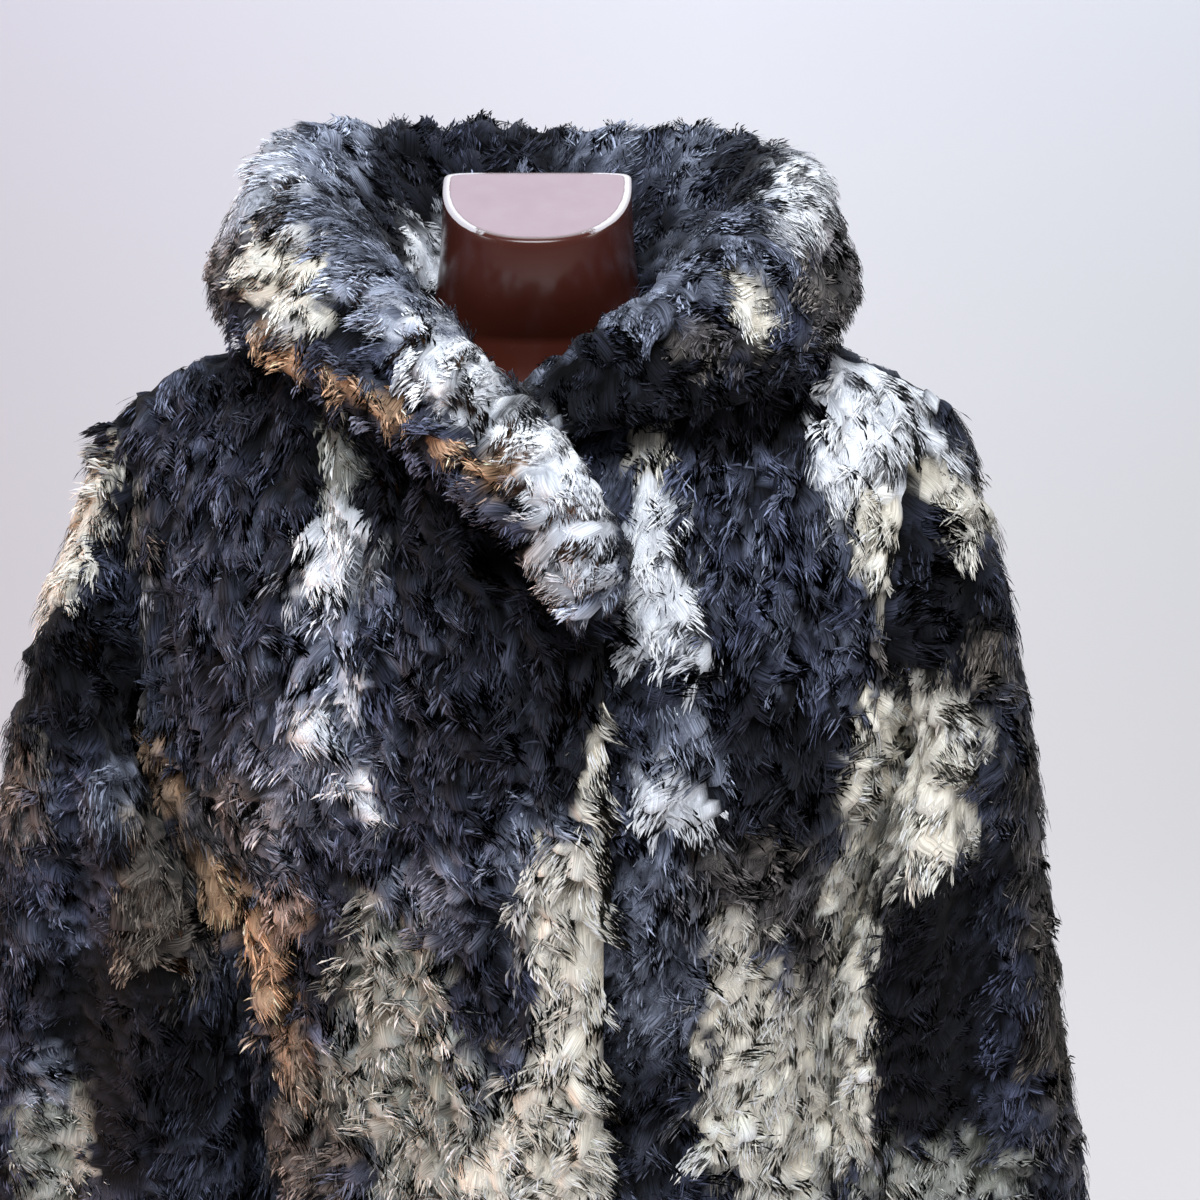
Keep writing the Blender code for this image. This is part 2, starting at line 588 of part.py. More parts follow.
def make_collar(front_right, front_left, back):
    outer_edge, inner_edge = neckline(front_right, front_left, back)
    tangent = unit(np.gradient(outer_edge, axis=0))
    leaving = unit(np.cross(tangent, unit(outer_edge - inner_edge)))
    leaving *= np.sign(leaving[:, 2:3])
    outer_edge, inner_edge = outer_edge + leaving * COLLAR_GAP, inner_edge + leaving * COLLAR_GAP
    middle = (outer_edge + inner_edge) / 2
    stations = np.arange(len(middle))
    read = {n: looked_up(COLLAR_SECTIONS, COLLAR_COLUMNS, n, stations) for n in COLLAR_COLUMNS[1:]}
    crest = np.stack([read["crest_x"], read["crest_y"], read["crest_z"]], -1)
    edge = np.stack([read["edge_x"], read["edge_y"], read["edge_z"]], -1)
    lines = [
        collar_backing(middle[i], leaving[i], crest[i], edge[i], read["fold"][i]) for i in stations
    ]
    backing = np.stack(lines, 1)
    to_neck = unit(np.cross(np.gradient(backing, axis=0), np.gradient(backing, axis=1)))
    centre_back = NECK_COLUMNS + NAPE_COLUMNS // 2
    to_neck *= -np.sign(to_neck[1, centre_back, 1])
    rows = np.linspace(0, 1, len(backing))[:, None]
    taper = 1 - EDGE_TAPER * smooth_step(0.8, 1.0, rows)
    grow = smooth_step(0, 0.25, rows)[..., None]
    upper_thick = (read["pile"] * taper)[..., None]
    under_thick = (np.minimum(UNDER_PILE * read["pile"], read["fold"] - 0.003) * taper)[..., None]
    upper_out = backing + grow * to_neck * upper_thick + (1 - grow) * (inner_edge - middle)
    under_out = backing - grow * to_neck * under_thick + (1 - grow) * (outer_edge - middle)
    ends = smooth_step(0, 2, stations) * smooth_step(0, 2, stations[::-1])
    relief = TUFT * tufts(upper_out) * smooth_step(0.1, 0.4, rows) * ends
    upper_out = upper_out + to_neck * relief[..., None]
    half = to_neck * SEAM_GAP / 2
    wall("collar_upper", upper_out, backing + half)
    wall("collar_under", under_out, backing - half, inside_out=True)


# ---------------------------------------------------------------- the dress form and its stand
def form_outline(half_width, front, back, squareness, flatness, neck=None):
    """An outline of the form: a rounded front, which may hold the neck's, and a flatter back."""
    angles = np.linspace(0, 2 * math.pi, FORM_POINTS, endpoint=False)
    c, s = np.cos(angles), np.sin(angles)
    power = np.where(s >= 0, 2 / squareness, 2 / flatness)
    x = half_width * np.sign(c) * np.abs(c) ** power
    y = -np.sign(s) * np.where(s >= 0, front, back) * np.abs(s) ** power
    if neck:
        neck_half, neck_front = neck
        inside = np.clip(1 - np.abs(x / neck_half) ** 2.3, 0, 1) ** (1 / 2.3)
        both = ((neck_front * inside) ** 4 + np.abs(y) ** 4) ** 0.25
        y = np.where(s > 1e-9, -both, y)
    return x, y


def form_levels():
    """Heights and sizes of the outlines, from the bottom to the top of the shoulders."""
    seat = RIDGE_HEIGHT - (PILE + FORM_SEAT) * math.hypot(1, SHOULDER_SLOPE)
    low = seat - SHOULDER_SLOPE * (SHOULDER_END - NECK_HALF)
    sections = list(FORM_SECTIONS)
    for height, (front, back) in zip(np.linspace(low, seat - 0.001, 3), SHOULDER_DEPTHS):
        out = NECK_HALF + (seat - height) / SHOULDER_SLOPE
        sections.append((height, out, front, back, SHOULDER_SQUARENESS, SHOULDER_SQUARENESS))
    seat -= 0.001
    heights = np.concatenate(
        [np.linspace(FORM_BOTTOM, 1.150, 15), np.linspace(1.165, low, 4), np.linspace(low, seat, 5)[1:]]
    )
    sizes = [looked_up(sections, FORM_COLUMNS, name, heights) for name in FORM_COLUMNS[1:]]
    sloped = NECK_HALF + (seat + 0.001 - heights) / SHOULDER_SLOPE
    sizes[0] = np.where(heights > low, sloped, sizes[0])
    return seat, zip(heights, *sizes)


def make_form():
    seat, levels = form_levels()
    rings = []
    for height, *sizes in levels:
        half = NECK_ROOT_HALF + 0.02 * smooth_step(seat, 1.10, height)
        neck = half, NECK_ROOT_FRONT * smooth_step(1.02, 1.14, height)
        x, y = form_outline(*sizes, neck=neck)
        rings.append(np.stack([x, y, np.full(FORM_POINTS, height)], -1))
    for share, inset in ((0.10, 0), (0.3, 0), (0.55, 0), (0.8, 0), (0.97, 0), (1.0, 0.003)):
        bend = (1 - share) ** 2
        half_width = NECK_HALF_WIDTH + (NECK_ROOT_HALF - NECK_HALF_WIDTH) * bend - inset
        front = NECK_FRONT + (NECK_ROOT_FRONT - NECK_FRONT) * bend - inset
        x, y = form_outline(half_width, front, NECK_BACK - inset, 2.3, 7.0)
        height = seat + (NECK_CAP - seat) * share
        z = height + CAP_TILT * (y + 0.030) * smooth_step(0, 1, share)
        rings.append(np.stack([x, y, z], -1))
    rings = np.array(rings)
    faces = [list(range(FORM_POINTS))[::-1]]
    for r in range(len(rings) - 1):
        for c in range(FORM_POINTS):
            n = (c + 1) % FORM_POINTS
            low, high = r * FORM_POINTS, (r + 1) * FORM_POINTS
            faces.append([low + c, low + n, high + n, high + c])
    faces.append([(len(rings) - 1) * FORM_POINTS + c for c in range(FORM_POINTS)])
    faces = [face[::-1] for face in faces]
    make_object("dress_form", move(rings.reshape(-1, 3)), faces)


def turned(name, profile, segments=48):
    """A solid turned about the pole's axis from (radius, height) points, which end on the axis
    or, for a ring, come back to the first."""
    mesh = bpy.data.meshes.new(name)
    vertices = [(radius, 0, height) for radius, height in profile]
    edges = [(i, i + 1) for i in range(len(profile) - 1)]
    if profile[0][0] > 0 and profile[-1][0] > 0:
        edges.append((len(profile) - 1, 0))
    mesh.from_pydata(vertices, edges, [])
    mesh.materials.append(make_material(name))
    made = bpy.data.objects.new(name, mesh)
    bpy.context.scene.collection.objects.link(made)
    spin = made.modifiers.new("turn", "SCREW")
    spin.steps = spin.render_steps = segments
    spin.use_merge_vertices = True
    spin.merge_threshold = 0.00005
    spin.use_smooth_shade = False
    return made


def make_stand():
    top = BASE_HEIGHT
    turned(
        "stand_base",
        [
            (0, top),
            (BASE_RADIUS - BASE_BEVEL, top),
            (BASE_RADIUS, top - BASE_BEVEL),
            (BASE_RADIUS, 0.001),
            (BASE_RADIUS - 0.001, 0),
            (0, 0),
        ],
    )
    pole_top = FORM_BOTTOM - STAND_GAP
    pole_low = BASE_HEIGHT + STAND_GAP
    turned(
        "stand_pole",
        [
            (0, pole_top),
            (POLE_RADIUS - 0.001, pole_top),
            (POLE_RADIUS, pole_top - 0.001),
            (POLE_RADIUS, pole_low),
            (0, pole_low),
        ],
        segments=32,
    )
    bore = POLE_RADIUS + STAND_GAP
    socket_low = pole_top - SOCKET_HEIGHT
    turned(
        "stand_socket",
        [
            (SOCKET_RADIUS, pole_top),
            (SOCKET_RADIUS, pole_top - 0.003),
            (bore + SOCKET_WALL, pole_top - 0.007),
            (bore + SOCKET_WALL, socket_low),
            (bore, socket_low),
            (bore, pole_top),
        ],
        segments=32,
    )


def make_material(node):
    """A material of its own for a node, from the table."""
    name, colour, roughness, metallic = MATERIALS[node]
    made = bpy.data.materials.new(name)
    made.use_nodes = True
    shader = made.node_tree.nodes["Principled BSDF"]
    shader.inputs["Base Color"].default_value = (*colour, 1)
    shader.inputs["Roughness"].default_value = roughness
    shader.inputs["Metallic"].default_value = metallic
    made.diffuse_color = (*colour, 1)
    return made


def main():
    for old in list(bpy.data.objects):
        bpy.data.objects.remove(old)
    front_right = make_front("front_right", -1)
    front_left = make_front("front_left", 1)
    back = make_back()
    make_sleeve("sleeve_right", -1, front_right, back)
    make_sleeve("sleeve_left", 1, front_left, back)
    make_collar(front_right, front_left, back)
    make_form()
    make_stand()


main()
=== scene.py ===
import math

import bpy
import numpy as np
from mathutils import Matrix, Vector


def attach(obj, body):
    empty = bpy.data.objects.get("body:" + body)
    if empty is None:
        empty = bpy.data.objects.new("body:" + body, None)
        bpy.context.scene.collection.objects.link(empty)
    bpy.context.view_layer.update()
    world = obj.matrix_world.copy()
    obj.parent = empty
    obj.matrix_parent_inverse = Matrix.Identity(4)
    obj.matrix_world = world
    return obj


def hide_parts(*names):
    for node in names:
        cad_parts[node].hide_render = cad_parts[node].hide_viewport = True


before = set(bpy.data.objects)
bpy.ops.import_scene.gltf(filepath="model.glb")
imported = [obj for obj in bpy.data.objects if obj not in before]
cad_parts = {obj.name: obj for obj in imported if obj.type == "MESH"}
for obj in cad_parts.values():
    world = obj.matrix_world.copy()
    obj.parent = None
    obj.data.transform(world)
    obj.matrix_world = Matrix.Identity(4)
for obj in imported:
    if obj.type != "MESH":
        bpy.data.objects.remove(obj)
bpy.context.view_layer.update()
print("frame loaded")

# The camera of the photo: in front of the coat and above its middle, tilted down.
camera = {"place": (0.0381, -1.6199, 1.5865), "tiltDown": 18.0, "lens": 81.8, "sensor": 36, "picture": 1200}


def addCamera():
    data = bpy.data.cameras.new("photoCamera")
    data.lens, data.sensor_width = camera["lens"], camera["sensor"]
    made = bpy.data.objects.new("photoCamera", data)
    made.location = camera["place"]
    made.rotation_euler = (math.radians(90 - camera["tiltDown"]), 0, 0)
    bpy.context.scene.collection.objects.link(made)
    bpy.context.scene.camera = made


addCamera()


# One named column of a table.
def column(table, names, wanted):
    return np.array([row[names.index(wanted)] for row in table], float)


# A smooth curve through the points that doesn't overshoot between them: cubic pieces whose slope at a
# point is the harmonic mean of the slopes beside it, or level where those turn.
def curveThrough(xs, ys, at, flatEnd=False):
    step, rise = np.diff(xs), np.diff(ys)
    slope = rise / step
    both = slope[:-1] * slope[1:]
    total = slope[:-1] + slope[1:]
    inner = np.where(both > 0, 2 * both / np.where(both > 0, total, 1), 0)
    tangent = np.concatenate([slope[:1], inner, [0.0 if flatEnd else slope[-1]]])
    at = np.asarray(at, float)
    i = np.clip(np.searchsorted(xs, at, side="right") - 1, 0, len(step) - 1)
    h, t = step[i], (at - xs[i]) / step[i]
    return (
        (2 * t**3 - 3 * t**2 + 1) * ys[i]
        + (t**3 - 2 * t**2 + t) * h * tangent[i]
        + (3 * t**2 - 2 * t**3) * ys[i + 1]
        + (t**3 - t**2) * h * tangent[i + 1]
    )


# A named column of a table read as such a curve over the table's first column.
def lookedUp(table, names, wanted, at, flatEnd=False):
    return curveThrough(column(table, names, names[0]), column(table, names, wanted), at, flatEnd)


# From 0 at low to 1 at high: t * t * (3 - 2 * t).
def smoothStep(low, high, value):
    t = np.clip((value - low) / (high - low), 0, 1)
    return t * t * (3 - 2 * t)


def unit(vectors):
    return vectors / np.linalg.norm(vectors, axis=-1, keepdims=True)


# The coat's sizes. Its angles are counted from the centre of a face, and its rows from the hem, 0, to
# the shoulder seam, 1.
coat = {
    "pile": 0.018,  # backing to the tips of the fur, the thickness of a cloth wall
    "seamGap": 0.0003,  # between pieces that are sewn together
    "collarGap": 0.0009,  # between the neckline and the collar
    "poleToRidge": 0.035,  # the shoulder line lies this far behind the pole
    "overlap": 0.045,  # each front runs this far past the centre
    "pressed": 0.009,  # thickness of the under front where the other lies on it
    "lift": 0.0110,  # the upper front is raised by this over the under one
    "easeWidth": 0.030,  # the raising is spread over this width
    "neckHalf": 0.094,  # neckline to centre at the shoulder seam
    "lapelHeight": {-1: 1.085, 1: 1.130},  # the neckline meets the front edge here, by side
    "necklineBend": 1.333,  # 1 is a straight neckline
    "ridgeHeight": 1.252,  # the top of the shoulder seam at the neck
    "napeHeight": 1.228,  # the neckline at the centre back
    "neckMiddle": -0.02,  # the middle of the neck, from the pole
    "shoulderSlope": 0.40,
    "underarmRow": 0.72,
    "squareness": 2.3,  # exponent of the rings: 2 is an ellipse
    "rowsBelow": 11,  # rows from the hem to the underarm
    "rowsAbove": 10,
    "rowCrowding": 1.3,  # above 1, the rows crowd towards the shoulder seam
    "roundedTo": 0.80,  # the foot of the armhole is round up to this row
    "neckColumns": 8,
    "sideColumns": 8,
    "napeColumns": 10,
    "backColumns": 7,
}

bodyColumns = ("row", "height", "halfWidth", "front", "back", "armRight", "armLeft", "wider")
bodyRings = [
    (0.000, 0.430, 0.238, 0.150, 0.128, 90, 90, 0.00),
    (0.180, 0.560, 0.222, 0.146, 0.118, 90, 90, 0.03),
    (0.360, 0.690, 0.207, 0.143, 0.110, 90, 90, 0.05),
    (0.480, 0.780, 0.203, 0.147, 0.106, 90, 90, 0.07),
    (0.600, 0.870, 0.213, 0.157, 0.105, 90, 90, 0.07),
    (0.720, 0.957, 0.231, 0.163, 0.106, 90, 90, 0.09),
    (0.800, 1.035, 0.243, 0.158, 0.107, 66, 58, 0.07),
    (0.870, 1.105, 0.250, 0.140, 0.101, 66, 57, 0.06),
    (0.925, 1.170, 0.255, 0.110, 0.088, 68, 60, 0.05),
    (0.965, 1.220, 0.257, 0.070, 0.063, 69, 65, 0.04),
    (0.987, 1.244, 0.258, 0.035, 0.032, 70, 68, 0.03),
    (1.000, 1.252, 0.258, 0.000, 0.000, 71, 69, 0.03),
]

# Long folds: the side, the row and angle of their top and of their foot, width in degrees, and depth.
foldColumns = ("side", "topRow", "topAngle", "lowRow", "lowAngle", "width", "depth")
bodyFolds = [
    (-1, 0.74, 86, 0.28, 57, 14, -0.032),
    (-1, 0.74, 68, 0.28, 36, 9, 0.010),
    (1, 0.72, 78, 0.20, 72, 12, -0.010),
    (1, 0.50, 44, 0.00, 48, 12, -0.008),
    (-1, 0.24, 26, 0.00, 18, 9, -0.008),
    (-1, 0.56, 118, 0.00, 114, 14, -0.012),
    (-1, 0.60, 156, 0.00, 158, 12, -0.010),
    (1, 0.66, 142, 0.00, 146, 13, -0.012),
    (1, 0.48, 110, 0.00, 104, 12, -0.009),
]


# The sizes of the ring at a row of the coat body.
def ringAt(row):
    return {
        name: lookedUp(bodyRings, bodyColumns, name, row, flatEnd=name == "height")
        for name in bodyColumns[1:]
    }


# The angle from the centre of a face at which the ring of a row is x from the middle.
def angleAt(x, row):
    ring = ringAt(row)
    reach = ring["halfWidth"] * (1 + ring["wider"] * (np.asarray(x) < 0))
    share = np.clip(np.abs(x) / reach, 0, 1) ** (coat["squareness"] / 2)
    return np.sign(x) * np.arcsin(share)


# A body point without its folds. Past a side or the ridge it runs on to the other face.
def plainPoint(angle, row, face):
    over = row > 1
    row = np.where(over, 2 - row, row)
    past = np.abs(angle) > math.pi / 2
    face = face * np.where(over, -1, 1) * np.where(past, -1, 1)
    angle = np.where(past, np.sign(angle) * math.pi - angle, angle)
    ring = ringAt(row)
    power = 2 / coat["squareness"]
    reach = ring["halfWidth"] * (1 + ring["wider"] * (angle < 0))
    x = reach * np.sign(angle) * np.abs(np.sin(angle)) ** power
    depth = np.where(face < 0, ring["front"], ring["back"])
    y = face * depth * np.abs(np.cos(angle)) ** power
    beyondNeck = np.maximum(np.abs(x) - coat["neckHalf"], 0)
    fade = smoothStep(ringAt(coat["underarmRow"])["height"], coat["ridgeHeight"], ring["height"])
    return np.stack([x, y, ring["height"] - coat["shoulderSlope"] * beyondNeck * fade], -1)


# The outward direction of a surface given as a function of angle, row and face.
def normalOf(point, angle, row, face):
    dAngle, dRow = 2e-3, 5e-4
    across = point(angle + dAngle, row, face) - point(angle - dAngle, row, face)
    up = point(angle, row + dRow, face) - point(angle, row - dRow, face)
    return unit(np.cross(across, up)) * np.where(face < 0, 1, -1)[..., None]


# How far the long folds move the cloth out, as a function of angle, row and face.
def foldDepth(angle, row, face):
    turn = np.where(face < 0, np.abs(angle), math.pi - np.abs(angle))
    depth = np.zeros(np.shape(angle))
    for fold in bodyFolds:
        f = dict(zip(foldColumns, fold))
        along = (row - f["lowRow"]) / (f["topRow"] - f["lowRow"])
        middle = np.radians(f["lowAngle"] + (f["topAngle"] - f["lowAngle"]) * along)
        away = (turn - middle) / math.radians(f["width"])
        ends = smoothStep(1.0, 0.6, along) * smoothStep(-0.4, 0.3, along)
        depth += f["depth"] * ends * np.exp(-(away**2)) * (np.sign(angle) == f["side"])
    return depth


# A body point with its folds.
def bodyPoint(angle, row, face):
    angle, row, face = np.broadcast_arrays(np.asarray(angle, float), np.asarray(row, float), face)
    point = plainPoint(angle, row, face)
    out = normalOf(plainPoint, angle, row, face)
    return point + out * foldDepth(angle, row, face)[..., None]


# A wall over a grid of angles and rows: its outer points, inner points and outward directions.
def bodyGrid(angle, row, face, raised, thick):
    point = bodyPoint(angle, row, face)
    out = normalOf(bodyPoint, angle, row, np.broadcast_to(face, angle.shape))
    outer = point + out * raised[..., None]
    inner = point + out * (raised - thick)[..., None]
    return outer, inner, out


# Turns the end of the wall along the neckline so that the collar can stand on it. At the points
# atShoulder, on a shoulder seam, the neckline runs from front to back, and at the point free, on the
# front edge, it runs across. With lean 0 the collar stands square on the cloth, with more it runs on
# along it.
def leanNeckline(outer, inner, out, columns, atShoulder, lean, free=None):
    edge, normal = outer[-1, columns], out[-1, columns]
    thick = np.linalg.norm(edge - inner[-1, columns], axis=1, keepdims=True)
    tangent = unit(np.gradient(edge, axis=0))
    tangent[atShoulder] = (0, 1, 0)
    if free is not None:
        tangent[free] = (1, 0, 0)
    level = unit(np.cross(tangent, normal))
    neck = np.array([0, coat["neckMiddle"], coat["ridgeHeight"]])
    level *= np.sign(((neck - edge) * level).sum(-1))[:, None]
    inner[-1, columns] = edge + thick * unit(level - np.reshape(lean, (-1, 1)) * normal)


# Height of a front's neckline, s towards its own side from the centre.
def necklineHeight(s, side):
    share = np.clip((s + coat["overlap"]) / (coat["neckHalf"] + coat["overlap"]), 0, 1)
    low = coat["lapelHeight"][side]
    return low + (coat["ridgeHeight"] - low) * share**coat["necklineBend"]


# The row at which the middle of the body has a height.
def rowAtHeight(height):
    rows = np.linspace(0.5, 1, 1000)
    return np.interp(height, ringAt(rows)["height"], rows)


# Rows from the hem to the shoulder seam.
def rowList():
    below = np.linspace(0, coat["underarmRow"], coat["rowsBelow"] + 1)
    left = np.linspace(1, 0, coat["rowsAbove"] + 1)[1:] ** coat["rowCrowding"]
    return np.concatenate([below, 1 - (1 - coat["underarmRow"]) * left])


# The angle at which a panel ends: its side seam, and its armhole above that.
def armAngle(row, side):
    name = "armRight" if side < 0 else "armLeft"
    first = coat["roundedTo"]
    rounding = np.clip((row - coat["underarmRow"]) / (first - coat["underarmRow"]), 0, 1)
    above = lookedUp(bodyRings, bodyColumns, name, np.maximum(row, first))
    return side * np.radians(90 - (90 - above) * np.sqrt(rounding))


# Angles of a column between the neck column, share 0, and the side, share 1.
def columnToSide(share, side, rows):
    first = angleAt(np.full(len(rows), side * coat["neckHalf"]), rows)
    return first + (armAngle(rows, side) - first) * share


# Angles and rows of a front, from its front edge to its side.
def frontGrid(side):
    rows = rowList()
    angles, allRows = [], []
    for c in range(coat["neckColumns"]):
        s = -coat["overlap"] + (coat["neckHalf"] + coat["overlap"]) * c / coat["neckColumns"]
        row = rows * rowAtHeight(necklineHeight(s, side))
        angles.append(angleAt(np.full(len(row), side * s), row))
        allRows.append(row)
    for c in range(coat["sideColumns"] + 1):
        angles.append(columnToSide(c / coat["sideColumns"], side, rows))
        allRows.append(rows)
    return np.stack(angles, 1), np.stack(allRows, 1)


# Angles and rows of the back, from the wearer's right side to the left.
def backGrid():
    rows = rowList()
    angles, allRows = [], []
    half = coat["napeColumns"] // 2
    drop = 1 - rowAtHeight(coat["napeHeight"])
    for c in range(coat["backColumns"], 0, -1):
        angles.append(columnToSide(c / coat["backColumns"], -1, rows))
        allRows.append(rows)
    for c in range(-half, half + 1):
        row = rows * (1 - drop * math.sqrt(1 - (c / half) ** 2))
        angles.append(angleAt(np.full(len(row), coat["neckHalf"] * c / half), row))
        allRows.append(row)
    for c in range(1, coat["backColumns"] + 1):
        angles.append(columnToSide(c / coat["backColumns"], 1, rows))
        allRows.append(rows)
    return np.stack(angles, 1), np.stack(allRows, 1)


# Leaves the seam gaps: along the side and shoulder seams and at the armhole.
def openSeams(grids, sideColumns, face):
    half = coat["seamGap"] / 2
    for grid in grids:
        for c, side in sideColumns.items():
            grid[:, c, 1] += face * half
            grid[coat["rowsBelow"]:, c, 0] -= side * half
        grid[-1, :, 1] += face * half


# One front as (outer points, inner points): the body surface, raised or pressed where the two lap.
def frontWall(side):
    angle, row = frontGrid(side)
    s = side * bodyPoint(angle, row, -1)[..., 0]
    lapped = smoothStep(coat["overlap"] + coat["easeWidth"], coat["overlap"] + 0.003, s)
    if side < 0:
        raised, thick = coat["lift"] * lapped, coat["pile"]
    else:
        raised = -(coat["pile"] - coat["pressed"]) * lapped
        thick = coat["pile"] + raised
    outer, inner, out = bodyGrid(angle, row, -1, raised, thick)
    fromEdge = np.linspace(0, 1, coat["neckColumns"] + 1)
    lean = collar["collarLean"] + (collar["underLean"] if side > 0 else 0) * smoothStep(1, 0.4, fromEdge)
    leanNeckline(outer, inner, out, slice(0, coat["neckColumns"] + 1), [coat["neckColumns"]], lean, free=0)
    openSeams((outer, inner), {angle.shape[1] - 1: side}, -1)
    return outer, inner


# The back as (outer points, inner points).
def backWall():
    angle, row = backGrid()
    outer, inner, out = bodyGrid(angle, row, 1, np.zeros_like(angle), coat["pile"])
    nape = slice(coat["backColumns"], coat["backColumns"] + coat["napeColumns"] + 1)
    leanNeckline(outer, inner, out, nape, [0, coat["napeColumns"]], collar["collarLean"])
    openSeams((outer, inner), {0: -1, angle.shape[1] - 1: 1}, 1)
    return outer, inner


sleeve = {
    "sleeveRings": 19,
    "sleevePoints": 2 * coat["rowsAbove"],
    "frontHollow": (78, 30),  # angle from the outer line towards the front, and width, in degrees
    "backHollow": (215, 26),
    "backHollowShare": 0.35,
    "insideHollowShare": 0.6,  # of the hollow, seen from the inside: the pile is pressed there
    "squareness": 2.2,
    "ringCrowding": 1.25,  # above 1, the rings crowd towards the armhole
    "settled": (0.30, 0.26),  # outer and inner face keep the armhole's form up to this share
}

sleeveColumns = (
    "ring", "outerX", "outerZ", "innerX", "innerZ", "depth", "middle", "hollow",
    "swingOuter", "swingInner", "outerTurn", "innerTurn",
)
sleeveLines = [
    (0.00, 0.244, 1.189, 0.232, 0.957, 0.078, -0.010, 0.000, 0.008, 0.022, 252, 180),
    (0.06, 0.258, 1.172, 0.242, 0.967, 0.080, -0.012, 0.002, 0.008, 0.021, 235, 95),
    (0.14, 0.272, 1.132, 0.246, 0.958, 0.081, -0.018, 0.006, 0.007, 0.018, 212, 40),
    (0.24, 0.289, 1.078, 0.229, 0.930, 0.082, -0.037, 0.014, 0.012, 0.016, 200, 2),
    (0.38, 0.304, 0.993, 0.211, 0.872, 0.080, -0.056, 0.024, 0.021, 0.006, 195, -14),
    (0.54, 0.319, 0.893, 0.195, 0.804, 0.077, -0.058, 0.030, 0.028, 0.002, 190, -5),
    (0.76, 0.340, 0.763, 0.194, 0.708, 0.074, -0.058, 0.028, 0.030, 0.007, 189, 2),
    (1.00, 0.366, 0.604, 0.208, 0.586, 0.070, -0.055, 0.018, 0.026, 0.009, 188, 6),
]


# The points of one ring of a sleeve, this far inside the pile, and the three directions of its plane:
# an ellipse of a higher power between an outer and an inner line, pinched by two hollows.
def sleeveRing(ring, side, angles, inset):
    f = {name: lookedUp(sleeveLines, sleeveColumns, name, ring) for name in sleeveColumns[1:]}
    swing = side < 0  # only the wearer's right sleeve swings out
    lines = []
    for name in ("outer", "inner"):
        turn = math.radians(f[name + "Turn"])
        x = f[name + "X"] + swing * f["swing" + name.capitalize()] + inset * math.cos(turn)
        lines.append(np.array([side * x, 0, f[name + "Z"] + inset * math.sin(turn)]))
    outside, inside = lines
    centre = (outside + inside) / 2 + np.array([0, f["middle"], 0])
    toOutside = unit(outside - inside)
    toFront = np.array([0, -1.0, 0])
    half = np.linalg.norm(outside - inside) / 2
    depth = f["depth"] - inset
    degrees = np.degrees(angles)
    before = np.exp(-(((degrees - sleeve["frontHollow"][0]) / sleeve["frontHollow"][1]) ** 2))
    behind = np.exp(-(((degrees - sleeve["backHollow"][0]) / sleeve["backHollow"][1]) ** 2))
    pinch = f["hollow"] * (before + sleeve["backHollowShare"] * behind)
    pinch *= 1 - (1 - sleeve["insideHollowShare"]) * inset / coat["pile"]
    power = 2 / sleeve["squareness"]
    across = np.sign(np.cos(angles)) * np.abs(np.cos(angles)) ** power * half
    forward = np.sign(np.sin(angles)) * np.abs(np.sin(angles)) ** power * depth
    length = np.hypot(across, forward)
    keep = (length - pinch) / length
    points = centre + (across * keep)[:, None] * toOutside + (forward * keep)[:, None] * toFront
    return points, np.array([toOutside, toFront, np.cross(toOutside, toFront)])


# The first ring of a sleeve, from the shoulder seam down the front and up the back.
def armhole(front, back, side):
    edge = 0 if side < 0 else -1
    f, b = front[coat["rowsBelow"]:, -1], back[coat["rowsBelow"]:, edge]
    ring = np.concatenate([[(f[-1] + b[-1]) / 2], f[-2:0:-1], [(f[0] + b[0]) / 2], b[1:-1]])
    return ring + np.array([side * coat["seamGap"], 0, 0])


# A sleeve as (outer points, inner points): a tube whose first ring lies on the edges of front and back.
def sleeveWall(side, front, back):
    angles = np.linspace(0, 2 * math.pi, sleeve["sleevePoints"], endpoint=False)
    positions = np.linspace(0, 1, sleeve["sleeveRings"] + 1) ** sleeve["ringCrowding"]
    layers = []
    for layer, inset, settled in zip((0, 1), (0.0, coat["pile"]), sleeve["settled"]):
        first = armhole(front[layer], back[layer], side)
        start, axesThere = sleeveRing(0.0, side, angles, inset)
        local = (first - start) @ axesThere.T
        rings = []
        for ring in positions:
            points, axes = sleeveRing(ring, side, angles, inset)
            rings.append(points + (1 - smoothStep(0, settled, ring)) * local @ axes)
        layers.append(np.array(rings))
    return layers


collar = {
    "hiddenColumns": 2,  # the under end of the collar stops this many columns before the edge
    "underPile": 0.45,  # the hidden layer is pressed to this share of the pile
    "edgeTaper": 0.45,  # the collar thins by this share at its free edge
    "collarLean": 0.35,  # 0 stands square on the cloth, more runs on along it
    "underLean": 1.6,  # so much more where the left end tucks under
    "standBow": 0.6,  # how strongly the stand leaves along the cloth
    "thinnest": 0.003,  # room that the under layer leaves inside the fold
    "full": 0.25,  # share of the rows over which the layers reach their thickness
    "taperFrom": 0.8,  # share of the rows at which they start to thin
}

